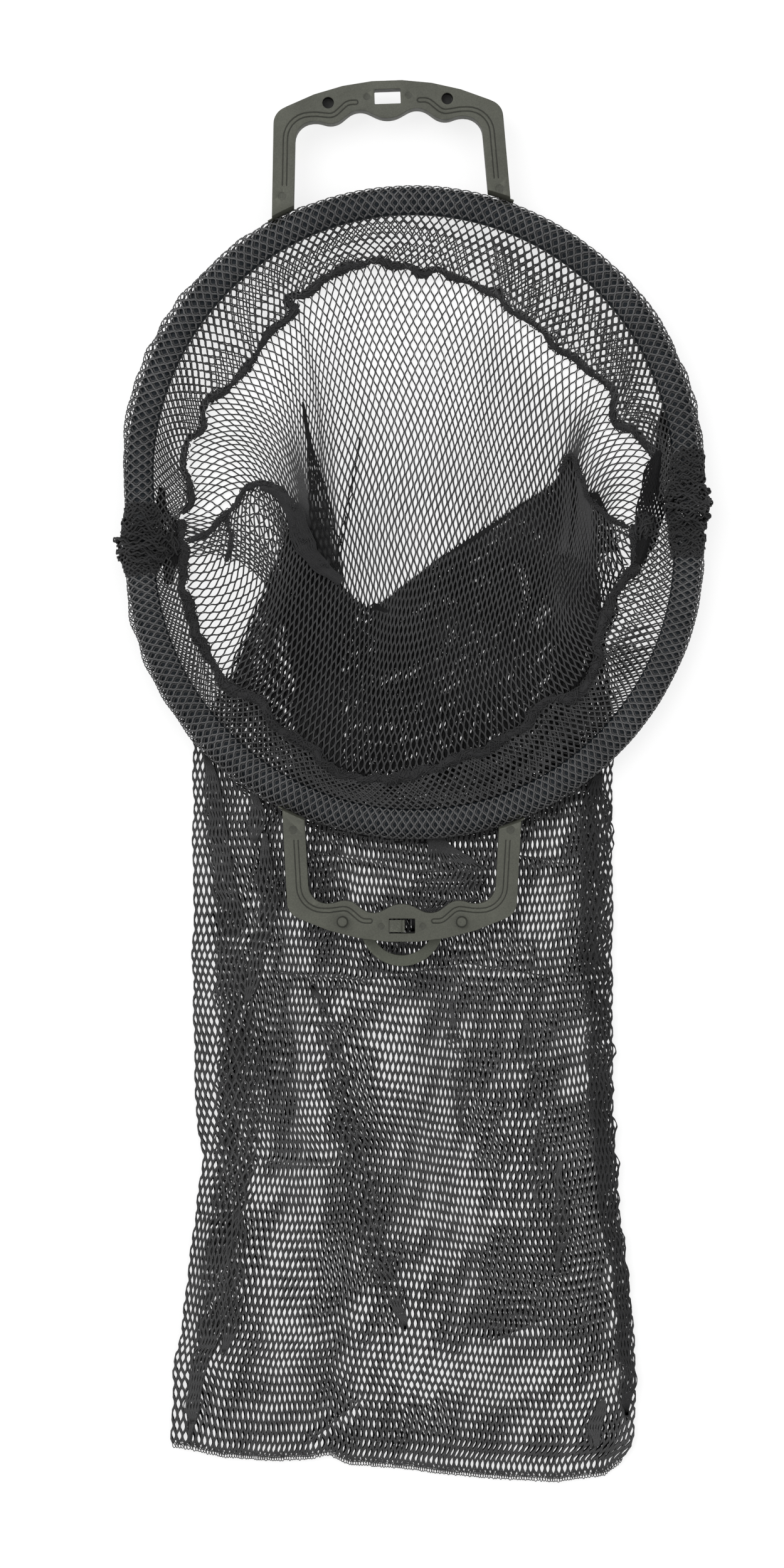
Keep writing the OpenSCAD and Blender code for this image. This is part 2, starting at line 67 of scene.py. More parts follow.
# ---- Small tools ----
def smooth(x, lo, hi):
    """0 below lo, 1 above hi and an even rise between them."""
    t = np.clip((x - lo) / (hi - lo), 0, 1)
    return t * t * (3 - 2 * t)


def unit(v):
    return v / np.maximum(np.linalg.norm(v, axis=-1, keepdims=True), 1e-9)


def wobble(seed, x, y, size):
    """A soft random field between about -1 and 1 whose lumps are that many millimetres across."""
    rng = np.random.default_rng(seed)
    out = 0.0
    for _ in range(5):
        a = rng.uniform(0, 2 * pi)
        k = 2 * pi / (size * rng.uniform(0.7, 1.6))
        out = out + np.sin(k * (np.cos(a) * x + np.sin(a) * y) + rng.uniform(0, 2 * pi))
    return out / 2.6


def joined(*parts):
    """Coordinates side by side, as points."""
    return np.stack(parts, axis=-1)


def across_hinge(xy):
    """Mirrors plan points in the hinge line."""
    c, s = cos(2 * LEAN), sin(2 * LEAN)
    x, y = xy[..., 0], xy[..., 1]
    return joined(c * x + s * y, s * x - c * y)


def run_along(curve):
    """The length of the curve up to each of its points."""
    return np.concatenate([[0], np.cumsum(np.linalg.norm(np.diff(curve, axis=0), axis=1))])


def evened(curve, n=None):
    """The same curve with its points, or with n points, at even steps."""
    run = run_along(curve)
    at = np.linspace(0, run[-1], n or len(curve))
    return joined(*(np.interp(at, run, curve[:, k]) for k in range(curve.shape[1])))


def spline(points, n):
    """n points at even steps on a smooth curve through the given ones."""
    p = np.asarray(points, float)
    p = np.vstack([2 * p[0] - p[1], p, 2 * p[-1] - p[-2]])
    out = []
    for i in range(1, len(p) - 2):
        t = np.linspace(0, 1, 24, endpoint=False)[:, None]
        a, b, c, d = p[i - 1], p[i], p[i + 1], p[i + 2]
        out.append(0.5 * (2 * b + (c - a) * t + (2 * a - 5 * b + 4 * c - d) * t ** 2
                + (3 * b - a - 3 * c + d) * t ** 3))
    return evened(np.vstack(out + [p[-2][None]]), n)


def along(curve, f):
    """The point at a fraction f of an even curve; f may be an array."""
    x = np.clip(f, 0, 1) * (len(curve) - 1)
    steps = np.arange(len(curve))
    return joined(*(np.interp(x, steps, curve[:, k]) for k in range(curve.shape[1])))


def placed(name, data):
    ob = bpy.data.objects.new(name, data)
    bpy.context.collection.objects.link(ob)
    return ob


# ---- Materials ----
def material(name, colour, rough, build, specular=0.5, **sockets):
    m = bpy.data.materials.new(name)
    m.use_nodes = True
    nt = m.node_tree
    b = nt.nodes["Principled BSDF"]
    looks = {"Base Color": (*colour, 1), "Roughness": rough, "Specular IOR Level": specular}
    for k, v in (looks | sockets).items():
        b.inputs[k.replace("_", " ")].default_value = v
    build(nt, b, colour, rough)
    return m


def put(socket, value):
    """Links another socket to this one, or sets its value."""
    if isinstance(value, bpy.types.NodeSocket):
        socket.id_data.links.new(value, socket)
    else:
        socket.default_value = value


def node(nt, kind, **values):
    n = nt.nodes.new(kind)
    for k, v in values.items():
        if hasattr(n, k):
            setattr(n, k, v)
        else:
            put(n.inputs[k.replace("_", " ")], v)
    return n


def noise(nt, scale, detail=4.0, rough=0.55, stretch=None):
    source = node(nt, "ShaderNodeTexCoord").outputs["Object"]
    if stretch:
        source = node(nt, "ShaderNodeMapping", Scale=stretch, Vector=source).outputs["Vector"]
    return node(nt, "ShaderNodeTexNoise", Scale=scale, Detail=detail, Roughness=rough,
            Vector=source).outputs["Fac"]


def ramp(source, low, high, lo=0.3, hi=0.7, colour=(1, 1, 1)):
    """The colour times low where the source is lo, up to times high where it is hi."""
    r = node(source.id_data, "ShaderNodeValToRGB", Fac=source)
    for e, at, by in zip(r.color_ramp.elements, (lo, hi), (low, high)):
        e.position = at
        e.color = shade(colour, by)
    return r.outputs["Color"]


def bump(b, source, strength, distance, below=None):
    n = node(b.id_data, "ShaderNodeBump", Strength=strength, Distance=distance, Height=source)
    if below:
        put(n.inputs["Normal"], below)
    put(b.inputs["Normal"], n.outputs["Normal"])
    return n.outputs["Normal"]


def shade(colour, by):
    return (*(c * by for c in colour), 1)


def mixed(nt, kind, *inputs):
    """A mix of two colours; inputs are the share of the second one and the two."""
    n = node(nt, "ShaderNodeMix", data_type="RGBA", blend_type=kind)
    for k, value in zip((0, 6, 7), inputs):
        put(n.inputs[k], value)
    return n.outputs[2]


def roughened(b, source, low, high):
    put(b.inputs["Roughness"], ramp(source, low, high))


def plastic_nodes(nt, b, colour, rough):
    """Spark-eroded grain, cloudy tone, a painted highlight on convex edges, painted shade in
    hollows, holes and recesses, and darker ejector marks.
    """
    cloud = ramp(noise(nt, 45, 5), 0.86, 1.14, colour=colour)
    speck = noise(nt, 1500, 2, 0.6)
    tint = mixed(nt, "MULTIPLY", 1, cloud, ramp(speck, 0.82, 1.16, 0.3, 0.72))
    edge = node(nt, "ShaderNodeNewGeometry").outputs["Pointiness"]
    # Painted shade where the surface is concave, and a painted highlight where it is convex.
    crevice_shaded = mixed(nt, "MULTIPLY", 1, tint, ramp(edge, 0.25, 1, 0.42, 0.49))
    edge_highlight = mixed(nt, "MIX", ramp(edge, 0, 0.5, 0.53, 0.62), crevice_shaded, shade(colour, 1.7))
    # The mark attribute carries the ejector marks and painted shade in holes, recesses and round
    # the pegs.
    mark_and_shade = node(nt, "ShaderNodeAttribute", attribute_name="mark_and_shade").outputs["Fac"]
    dark = mixed(nt, "MIX", mark_and_shade, edge_highlight, shade(colour, 0.06))
    put(b.inputs["Base Color"], dark)
    roughened(b, noise(nt, 260, 3), rough - 0.07, rough + 0.08)
    coarse = bump(b, noise(nt, 420, 3), 0.12, 0.0004)
    bump(b, speck, 0.3, 0.00012, coarse)


def thread_nodes(nt, b, colour, rough):
    """Multifilament polyester: fine fuzz on the thread, tone that drifts over the net."""
    drift = ramp(noise(nt, 30, 3), 0.8, 1.2, colour=colour)
    fuzz = noise(nt, 2600, 3, 0.65)
    tint = mixed(nt, "MULTIPLY", 1, drift, ramp(fuzz, 0.5, 1.5))
    put(b.inputs["Base Color"], tint)
    roughened(b, noise(nt, 900, 2), rough - 0.1, rough + 0.1)
    bump(b, fuzz, 0.55, 0.00025)


def hose_nodes(nt, b, colour, rough):
    """Foam hose: closed cells, a faint bloom and scuffs along its length."""
    bloom = ramp(noise(nt, 60, 5), 0.8, 1.35, 0.32, 0.68, colour)
    put(b.inputs["Base Color"], bloom)
    roughened(b, noise(nt, 300, 3), rough - 0.12, rough + 0.08)
    bump(b, noise(nt, 1100, 3, 0.6), 0.35, 0.0003)


def metal_nodes(nt, b, colour, rough):
    """Drawn wire: fine lines and dull spots."""
    tone = ramp(noise(nt, 220, 4), 0.7, 1.08, colour=colour)
    put(b.inputs["Base Color"], tone)
    lines = noise(nt, 900, 2, 0.5, (1, 1, 12))
    roughened(b, lines, rough - 0.1, rough + 0.15)
    bump(b, lines, 0.2, 0.0001)


def any_ray(nt, *kinds):
    """1 where the ray is of one of these kinds, such as Camera."""
    ray = node(nt, "ShaderNodeLightPath")
    found = ray.outputs[f"Is {kinds[0]} Ray"]
    for kind in kinds[1:]:
        either = node(nt, "ShaderNodeMath", operation="MAXIMUM")
        put(either.inputs[0], found)
        put(either.inputs[1], ray.outputs[f"Is {kind} Ray"])
        found = either.outputs[0]
    return found


def shown_by_ray(nt, found, otherwise, shown, out):
    """The rays found meet the shader shown, and the others meet the other one."""
    pick = node(nt, "ShaderNodeMixShader")
    for k, source in enumerate((found, otherwise, shown)):
        put(pick.inputs[k], source)
    put(out.inputs["Surface"], pick.outputs[0])


def floor_nodes(nt, b, colour, rough):
    """White paper that the camera sees bright, as on a light table, with the shadows kept."""
    glow = node(nt, "ShaderNodeEmission", Strength=0.74)
    paper = node(nt, "ShaderNodeBsdfDiffuse", Color=(0.36, 0.36, 0.36, 1))
    both = node(nt, "ShaderNodeAddShader")
    put(both.inputs[0], glow.outputs[0])
    put(both.inputs[1], paper.outputs[0])
    shown_by_ray(nt, any_ray(nt, "Camera", "Glossy", "Transmission"), b.outputs[0],
            both.outputs[0], nt.nodes["Material Output"])


def yarn(name, colour, rough, sheen, specular):
    return material(name, colour, rough, thread_nodes, specular, Sheen_Weight=sheen,
            Sheen_Roughness=0.5)


plastic = material("grip_plastic", (0.088, 0.091, 0.072), 0.56, plastic_nodes, 0.42)
loop_plastic = material("loop_plastic", (0.082, 0.088, 0.066), 0.5, plastic_nodes, 0.45)
hinge_plastic = material("hinge_plastic", (0.024, 0.026, 0.029), 0.5, plastic_nodes, 0.4)
hose = material("foam_hose", (0.010, 0.0135, 0.017), 0.68, hose_nodes, 0.2)
steel = material("steel_wire", (0.5, 0.5, 0.51), 0.34, metal_nodes, Metallic=1.0)
thread = yarn("net_thread", (0.053, 0.053, 0.054), 0.72, 0.12, 0.3)
# A paler copy of the net thread for the net on top of the tube: painted light.
lit_sleeve_thread = yarn("lit_sleeve_net_thread", (0.105, 0.105, 0.107), 0.7, 0.15, 0.3)
bag_thread = yarn("bag_net_thread", (0.06, 0.06, 0.061), 0.7, 0.1, 0.3)
front_thread = yarn("front_wall_thread", (0.043, 0.043, 0.044), 0.72, 0.15, 0.3)
lining_thread = yarn("sleeve_lining_thread", (0.06, 0.061, 0.063), 0.75, 0.1, 0.25)
# A near-black copy of the net thread for layers that lie under others: painted shade.
shaded_thread = yarn("shaded_net_thread", (0.009, 0.009, 0.0095), 0.8, 0.05, 0.2)
# A darker thread for the seam ropes, bunches and knots, and painted shade on the fold roll and one
# pleat.
dark_thread = yarn("dark_net_thread", (0.03, 0.03, 0.031), 0.78, 0.08, 0.25)


# ---- Threads as swept tubes ----
class Threads:
    """Collects threads, each swept along its own path, for one mesh."""

    def __init__(self, sides):
        self.sides = sides
        self.verts, self.faces, self.uvs = [], [], []
        self.points = self.count = 0

    def add(self, paths, ups, width, height, closed=False):
        """paths and ups are (threads, points, 3); width and height may vary along a thread."""
        s, n, _ = paths.shape
        if closed:
            ahead = np.roll(paths, -1, axis=1) - np.roll(paths, 1, axis=1)
        else:
            ahead = np.gradient(paths, axis=1)
        ahead = unit(ahead)
        side = unit(np.cross(ahead, ups))
        up = np.cross(side, ahead)
        k = self.sides
        turn = 2 * pi * (np.arange(k) + 0.5) / k
        wide = np.broadcast_to(width, (s, n)) / 2
        tall = np.broadcast_to(height, (s, n)) / 2
        if not closed:
            wide[:, [0, -1]] *= 0.1
            tall[:, [0, -1]] *= 0.1
        wide *= 2 / np.ptp(np.cos(turn))
        tall *= 2 / np.ptp(np.sin(turn))
        ring = (paths[:, :, None] + np.cos(turn)[:, None] * (wide[..., None] * side)[:, :, None]
                + np.sin(turn)[:, None] * (tall[..., None] * up)[:, :, None])
        self.verts.append(ring.reshape(-1, 3))
        last = n if closed else n - 1
        i, j = np.arange(last), np.arange(k)
        base = self.points + np.arange(s)[:, None, None] * n * k
        lane = self.count + np.arange(s)[:, None, None] + j / k
        corners, uv = [], []
        for di, dj in ((0, 0), (1, 0), (1, 1), (0, 1)):
            corners.append(base + (((i + di) % n)[:, None] * k + (j + dj) % k))
            uv.append(joined(*np.broadcast_arrays(((i + di) / last)[:, None], lane + dj / k)))
        self.faces.append(joined(*corners).reshape(-1, 4))
        self.uvs.append(np.stack(uv, axis=-2).reshape(-1, 2))
        self.points += s * n * k
        self.count += s

    def make(self, name, mat):
        verts = np.vstack(self.verts) * MM
        faces = np.vstack(self.faces)
        uv = np.vstack(self.uvs)
        uv[:, 1] /= self.count
        me = bpy.data.meshes.new(name)
        me.vertices.add(len(verts))
        me.vertices.foreach_set("co", verts.astype(np.float32).ravel())
        me.loops.add(faces.size)
        me.loops.foreach_set("vertex_index", faces.astype(np.int32).ravel())
        me.polygons.add(len(faces))
        me.polygons.foreach_set("loop_start", np.arange(len(faces), dtype=np.int32) * 4)
        layer = me.uv_layers.new(name="OFBake")
        layer.data.foreach_set("uv", uv.astype(np.float32).ravel())
        me.update(calc_edges=True)
        me.shade_smooth()
        me.materials.append(mat)
        return placed(name, me)


def net(place, strands, rows, thick, cross, sides=4, lens=1.0, ups=None, keep=None, first=0,
        into=None, seed=0, at=(0, 0.25, 0.42, 0.58, 0.75), short=1.0):
    """Knitted net: strand i lies against its two neighbours in turn, and opens a lens-shaped
    gap to the other one, row by row.

    place(u, v) is the net's surface, with u in strands and v in half rows. A strand is thick, or
    thick(i, v), and cross wide where it changes neighbours. lens is 1 for rounded gaps and 0 for
    diamonds; short below 1 shortens the gaps; at says where in a half row the points stand;
    ups(u, v) is the way out of the surface; keep(points) says which points stay.
    """
    out = into or Threads(sides)
    v = np.append(np.add.outer(np.arange(rows), at), rows)[None]
    off = v - np.floor(v)
    i = (np.arange(strands) + first)[:, None]
    side = np.where((np.floor(v) + i) % 2 == 0, 1.0, -1.0)
    a, b = place(i - 0.5, v), place(i + 0.5, v)
    pitch = np.linalg.norm(b - a, axis=-1)
    if callable(thick):
        thick = thick(i, v)
    wide = np.maximum(2 * pitch - 1.7 * thick, 0.3 * pitch)
    mid = np.clip((pitch - cross) / wide, 0.0, 0.48)
    round_end = short * pi / 4 / np.arccos(mid)
    sharp_end = short * 0.5 / (1 - mid)

    def gap(d):
        share = np.clip(d / round_end, 0, 1)
        straight = np.clip(1 - d / sharp_end, 0, 1)
        return wide * (lens * np.cos(share * pi / 2) + (1 - lens) * straight)

    here, there = gap(off), gap(1 - off)
    rng = np.random.default_rng(100 + seed)
    loose = 1 + SLACK * rng.normal(size=here.shape)
    shift = -side * (here - there) / 4 / np.maximum(pitch, 0.1) * loose
    paths = place(i + shift, v)
    lift = np.broadcast_to(UP, paths.shape) if ups is None else ups(i, v)
    width = np.clip(pitch - (here + there) / 2, thick * 0.8, np.maximum(cross * 1.5, thick)) * loose
    high = np.broadcast_to(thick * 0.9, width.shape)
    if keep is None:
        out.add(paths, lift, width, high)
        return out
    kept = keep(paths)
    for k in range(strands):
        edge = np.flatnonzero(np.diff(np.concatenate([[0], kept[k].astype(int), [0]])))
        for lo, hi in zip(edge[::2], edge[1::2]):
            if hi - lo >= SHORTEST:
                run = np.s_[k:k + 1, lo:hi]
                out.add(paths[run], lift[run], width[run], high[run])
    return out


# ---- The hoop and the gathered seam ----
def hoop_at(s, upper):
    """Middle of the tube in plan and its outward direction, s along a half from its left hinge."""
    turn = pi + np.clip((s - STRAIGHT) / HOOP_R, 0, pi)
    out = joined(np.cos(turn), np.sin(turn))
    at = np.array([SHIFT, -STRAIGHT]) + HOOP_R * out
    at[..., 1] += np.clip(STRAIGHT - s, 0, None)
    at[..., 1] += np.clip(s - (HOOP_LEN - STRAIGHT), 0, None)
    if upper:
        at, out = across_hinge(at), across_hinge(out)
    return at, out


def tube_low(x):
    """Height, in plan, of the middle line of the lower half hoop over x."""
    span = np.clip(HOOP_R ** 2 - (x - SHIFT) ** 2, 0, None)
    return -STRAIGHT - np.sqrt(span)


# Bends of the gathered seam in plan, from the left hinge to the right one.
UPPER_SEAM = [
    (-118.6, -1.7), (-111.6, 9.5), (-116.5, 23), (-115.8, 31.3), (-113.7, 39), (-107.4, 44),
    (-104.6, 58), (-92, 67.8), (-80.7, 80.5), (-69.5, 97.3), (-56.9, 108.5), (-60.4, 114.1),
    (-52.7, 116.9), (-37.2, 127.5), (-19, 133.8), (-0.7, 132.4), (9.1, 127.5), (18.9, 130.3),
    (35.1, 122.6), (49.1, 117.7), (58.9, 107.8), (71.6, 100.1), (82.8, 88.9), (99.6, 76.3),
    (112.2, 66.4), (112.2, 53.8), (115.1, 46.8), (123.5, 44.7), (127.7, 39.8), (134.7, 28.6),
    (133, 12), (130, 4)]
LOWER_SEAM = [
    (-118.6, -3), (-117.2, -17.1), (-116.5, -39.6), (-111.6, -57.8), (-106, -71.8), (-99.7, -81.7),
    (-94.7, -91.5), (-75.1, -101.3), (-66.7, -115.3), (-49.8, -123.7), (-41.4, -134.3),
    (-27.4, -140.6), (-13.4, -142), (7.7, -139.2), (21.7, -133.6), (35.1, -129.3), (49.1, -123.7),
    (66, -112.5), (77.2, -99.9), (94, -97), (103.8, -80.2), (105.2, -64.8), (115.1, -39.6),
    (124.9, -28.3), (123.5, -14.3), (130, -3)]
SEAM_A, SEAM_B = 125.0, 136.0    # half sizes of the ellipse that the seam follows
upper_curve, lower_curve = spline(UPPER_SEAM, 700), spline(LOWER_SEAM, 700)


def eased(curve, reach=34):
    """A calmer copy of a seam curve, for the net that hangs from it."""
    bell = np.exp(-(np.arange(-reach, reach + 1) / (0.47 * reach)) ** 2)
    ahead = 2 * curve[0] - curve[reach:0:-1]
    after = 2 * curve[-1] - curve[-2:-reach - 2:-1]
    longer = np.vstack([ahead, curve, after])
    return joined(*(np.convolve(longer[:, k], bell / bell.sum(), "valid") for k in (0, 1)))


def inward_of(points):
    """The way into the mouth, square to the seam's ellipse."""
    t = np.arctan2(points[:, 1] / SEAM_B, (points[:, 0] - SHIFT) / SEAM_A)
    return unit(joined(-np.cos(t) / SEAM_A, -np.sin(t) / SEAM_B))


def turned(v, angle):
    """Plan directions turned to the left by an angle each."""
    c, s = np.cos(angle), np.sin(angle)
    return joined(v[:, 0] * c - v[:, 1] * s, v[:, 0] * s + v[:, 1] * c)


upper_soft, lower_soft = eased(upper_curve), eased(lower_curve)


# ---- Netting round the tube, and doubled between the tube and the seam ----
SLEEVE_R = 8.15
WEB_ROWS, ROUND_ROWS = 10.0, 12                     # in one layer of the web, and round the tube
TOP_TURN, LOW_TURN = radians(150), radians(-130)    # where the strip meets and leaves the tube


def looseness(s, upper):
    """How far the net stands off the outer side of the tube."""
    if upper:
        left, right = smooth(s, 12, 60) * (1 - smooth(s, 110, 230)), smooth(s, 330, 420)
        return 0.25 + 2.2 * left + 1.7 * right * (1 - smooth(s, 470, 490))
    left, right = smooth(s, 30, 60) * (1 - smooth(s, 130, 210)), smooth(s, 400, 450)
    return 0.2 + 1.9 * left + 0.7 * right * (1 - smooth(s, 465, 485))


def cover_place(upper, seed, lower_by=0.0, tighter_by=0.0, phase=0.0):
    """The folded strip of net: rows down the web's upper layer, round the tube and back."""
    pitch = 2.5 if upper else 2.15
    start = 1.5
    curve = upper_soft if upper else lower_soft

    def place(u, v):
        u, v = np.broadcast_arrays(u, v)
        s = start + (u + phase) * pitch
        drift = 2.6 * wobble(seed, s, v * 5, 70)
        high = np.clip(1 - v / WEB_ROWS, 0, 1)
        low = np.clip((v - WEB_ROWS - ROUND_ROWS) / WEB_ROWS, 0, 1)
        s = s + drift * (high + low) + 7 * high ** 1.5 * np.sin(s / 47 + seed) - 6 * low ** 1.5
        at, out = hoop_at(s, upper)
        turn = TOP_TURN + (LOW_TURN - TOP_TURN) * np.clip((v - WEB_ROWS) / ROUND_ROWS, 0, 1)
        bulge = looseness(s, upper) * np.exp(-((turn + 0.2) / 0.95) ** 2)
        bulge = bulge * (1 + 0.35 * wobble(seed + 5, s, 0, 16))
        r = SLEEVE_R - tighter_by + bulge * (1 - 0.5 * tighter_by)
        flat = at + out * (r * np.cos(turn))[..., None]
        z = HOOP_Z + r * np.sin(turn)
        seam = along(curve, s / HOOP_LEN)
        f = np.maximum(high, low)
        flat = flat * (1 - f)[..., None] + seam * f[..., None]
        rest = np.where(high > 0, 4.6, 2.5)
        sag = 1.6 * np.sin(pi * f) * (high > 0)
        z = z * (1 - f) + rest * f - sag
        z = z + 0.35 * wobble(seed + 9, s, v * 6, 14) * (f > 0)
        z = z + lower_by * np.sin(pi * f)
        return np.concatenate([flat, np.maximum(z, 1.4)[..., None]], axis=-1)

    def ups(u, v):
        e = 0.05
        du = place(u + e, v) - place(u - e, v)
        dv = place(u, v + e) - place(u, v - e)
        return unit(np.cross(du, dv))

    strands = int((HOOP_LEN - 2 * start) / pitch)
    return place, ups, strands


def cover_part(upper, seed, lo, hi, sleeve=False, into=None, keep=None, **fit):
    """The strip's rows from lo to hi."""
    place, ups, strands = cover_place(upper, seed, **fit)
    thick, cross, sides = (0.66, 0.8, 5) if sleeve else (0.5, 0.74, 4)
    return net(lambda u, v: place(u, v + lo), strands, hi - lo, thick, cross, sides, 0.8,
            lambda u, v: ups(u, v + lo), seed=lo, first=lo % 2, into=into, keep=keep,
            at=(0, 0.2, 0.4, 0.6, 0.8))


def cover(upper, prefix, body):
    seed = 3 if upper else 4
    first, last = int(WEB_ROWS), int(WEB_ROWS + ROUND_ROWS + 0.5)
    end = int(2 * WEB_ROWS + ROUND_ROWS)
    sleeve = cover_part(upper, seed, first, last, True).make(prefix + "_sleeve_net", lit_sleeve_thread)
    lining = cover_part(upper, seed + 20, first, last, True, tighter_by=0.75, phase=0.5)
    lining = lining.make(prefix + "_sleeve_lining_net", lining_thread)
    web = cover_part(upper, seed, 0, first)
    cover_part(upper, seed, last, end, into=web)
    web = web.make(prefix + "_web_net", thread)
    # Towards the right hinge the slack of both layers lies in folds over each other.
    slack = cover_part(upper, seed + 10, 0, first, lower_by=-0.9, keep=lambda p: (
        p[..., 0] > (48 if upper else -70)) & (upper | (p[..., 1] < -60)))
    if not upper:
        cover_part(upper, seed + 10, last, end, into=slack, lower_by=-0.9,
                keep=lambda p: (p[..., 0] > -30) & (p[..., 1] < -70))
    slack = slack.make(prefix + "_web_slack_net", thread)
    for ob, soft in ((sleeve, "_sleeve"), (lining, "_sleeve"), (web, "_web"), (slack, "_web")):
        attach(ob, body)
        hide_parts(prefix + soft)


cover(False, "lower", "lower_frame")
cover(True, "upper", "upper_frame")


# ---- The gathered seam, a ruffled rope of bunched net ----
def rope(name, curve, z, body, node_name=None, seed=0, core=1.5, wraps=6, loops=1.8):
    step = 0.8
    n = int(np.linalg.norm(np.diff(curve, axis=0), axis=1).sum() / step)
    mid = along(curve, np.linspace(0, 1, n))
    run = np.linspace(0, n * step, n)
    ahead = unit(np.gradient(mid, axis=0))
    side = joined(-ahead[:, 1], ahead[:, 0])
    mid = mid + side * (0.9 * wobble(seed, run, 0, 15))[:, None]
    swell = 1 + 0.35 * wobble(seed + 1, run, 0, 22)
    body_r = core * np.clip(swell, 0.65, 1.6)
    path = np.concatenate([mid, np.full((n, 1), z)], axis=1)
    path[:, 2] += 0.5 * wobble(seed + 2, run, 0, 12)
    t = Threads(6)
    t.add(path[None], UP, 2 * body_r[None], 1.8 * body_r[None])
    rng = np.random.default_rng(seed + 30)
    for k in range(wraps):
        turns = run / rng.uniform(2.2, 4.5) + rng.uniform(0, 6.28)
        turns = turns * rng.choice([-1, 1]) + 0.8 * wobble(seed + 40 + k, run, 0, 9)
        r = body_r * (1.0 + 0.35 * np.abs(wobble(seed + 60 + k, run, 0, 5)))
        curl = path.copy()
        curl[:, :2] += side * (r * np.cos(turns))[:, None]
        curl[:, 2] += r * 0.9 * np.sin(turns)
        t.add(curl[None], UP, 0.6, 0.55)
    # Small loops of bunched net all over it, some of which stand out on both sides.
    a = np.linspace(0, 2 * pi, 8)[:-1]
    for k in range(int(n * step * loops)):
        i = int(rng.uniform(2, n - 3))
        w, h, tip = rng.uniform(0.5, 1.3), rng.uniform(0.5, 1.3), rng.uniform(-1.2, 1.2)
        round_it = rng.uniform(-0.4, pi + 0.4)
        out = body_r[i] * rng.uniform(0.75, 1.25)
        flat = path[i, :2] + ahead[i] * (w * np.cos(a))[:, None] \
            + side[i] * (out * cos(round_it) + h * np.sin(a))[:, None]
        zz = path[i, 2] + 0.8 * out * sin(round_it) + tip * h * np.sin(a + k)
        ring = np.concatenate([flat, zz[:, None]], axis=1)[None]
        t.add(ring, UP, 0.5, 0.5, closed=True)
    ob = t.make(name, dark_thread)
    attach(ob, body)
    if node_name:
        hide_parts(node_name)


rope("lower_seam_rope", lower_curve, 4.5, "lower_frame", "lower_seam", 11, 1.9, 8, 3.0)
rope("upper_seam_rope", upper_curve[3:], 3.5, "upper_frame", "upper_seam", 12)


# ---- The nets inside the mouth ----
def bezier(p0, p1, p2, p3, n=60):
    """A fan of cubic curves, n points on each."""
    t = np.linspace(0, 1, n)[None, :, None]
    return ((1 - t) ** 3 * p0[:, None] + 3 * (1 - t) ** 2 * t * p1[:, None]
            + 3 * (1 - t) * t ** 2 * p2[:, None] + t ** 3 * p3[:, None])


class Flow:
    """A fan of curves, one for each thread, which place() reads at even steps along each."""

    def __init__(self, curves, step, height):
        self.curves, self.step, self.height = curves, step, height
        run = np.cumsum(np.linalg.norm(np.diff(curves, axis=1), axis=-1), axis=1)
        self.run = np.concatenate([np.zeros((len(curves), 1)), run], axis=1)
        self.rows = int(self.run[:, -1].max() / step)

    def place(self, u, v):
        u, v = np.broadcast_arrays(u, v)
        n, m = self.run.shape
        lo = np.clip(np.floor(u).astype(int), 0, n - 2)
        f = (u - lo)[..., None]
        out = 0
        want = v * self.step
        for k, w in ((0, 1 - f), (1, f)):
            row = lo + k
            idx = np.clip((self.run[row] < want[..., None]).sum(-1) - 1, 0, m - 2)
            a, b = self.run[row, idx], self.run[row, idx + 1]
            t = ((want - a) / np.maximum(b - a, 1e-6))[..., None]
            p = self.curves[row, idx] * (1 - t) + self.curves[row, idx + 1] * t
            out = out + w * p
        z = self.height(out[..., 0], out[..., 1])
        return np.concatenate([out, z[..., None]], axis=-1)

    def build(self, lo=0, hi=None, **kw):
        hi = hi or len(self.curves)
        end = self.run[lo:hi, -1:] / self.step
        return net(self.place, hi - lo, self.rows, first=lo,
                keep=lambda p: np.linspace(0, 1, p.shape[1]) * self.rows <= end, **kw)


# The back wall, from the left hinge to the right one: its curves leave the seam and gather below.
back_n, BACK_ROW = 204, 4.4
w = np.interp(np.linspace(0, 1, back_n), [0, 0.08, 1], [0.003, 0.042, 0.997])
start = along(evened(np.vstack([lower_soft[34:2:-1], upper_soft[6:-6],
        lower_soft[-3:-34:-1]])), w)
start[:, 1] += 4 * (1 - smooth(w, 0, 0.12)) * smooth(w, 0, 0.03)
inward = inward_of(start)
inward = turned(inward, np.radians(34) * smooth(w, 0.02, 0.07) * (1 - smooth(w, 0.1, 0.26))
        - np.radians(14) * smooth(w, 0.84, 0.97))
end_x = np.interp(w, [0, 0.06, 0.27, 0.38, 0.66, 0.76, 0.95, 1],
        [-58, -53, -44, -33, 48, 80, 91, 93])
end = joined(end_x, tube_low(end_x))
reach = np.abs(end_x - start[:, 0])
gathered = 1 - smooth(w, 0.2, 0.36) + 0.9 * smooth(w, 0.7, 0.84)
k1 = np.clip(0.62 * reach + 20 * inward[:, 1] ** 2, 18, 60)
k1 = (k1 + 0.2 * reach * gathered)[:, None]
k2 = ((0.42 + 0.36 * gathered) * (start[:, 1] - end[:, 1]))[:, None]
curves = bezier(start, start + k1 * inward, end + k2 * np.array([0.02, 1.0]), end)
curves[..., 0] += 1.6 * wobble(21, curves[..., 0], curves[..., 1], 90)


def back_height(x, y):
    rise = smooth(np.hypot((x - SHIFT) / SEAM_A, y / SEAM_B), 0.88, 1.0)
    return 0.55 + 0.25 * (1 + wobble(22, x, y, 45)) + 2.4 * rise * smooth(y, -80, -50)


back = Flow(curves, BACK_ROW, back_height)


def back_thread(i, v):
    """The net looks heavier where it is drawn together, below and to the right."""
    right = smooth(i, 110, 150) * smooth(v, 1, 7)
    return 0.47 + 0.46 * np.maximum(smooth(v, 8, 28), right)


for k in range(3):
    lo, hi = back_n * k // 3, back_n * (k + 1) // 3
    back_net = back.build(lo, hi, seed=7 + k, thick=back_thread, cross=0.72, lens=0.7,
            at=(0, 0.28, 0.5, 0.72)).make(f"back_wall_net_{k + 1}", thread)
    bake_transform(back_net)
    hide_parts("back_panel", "upper_back_panel")

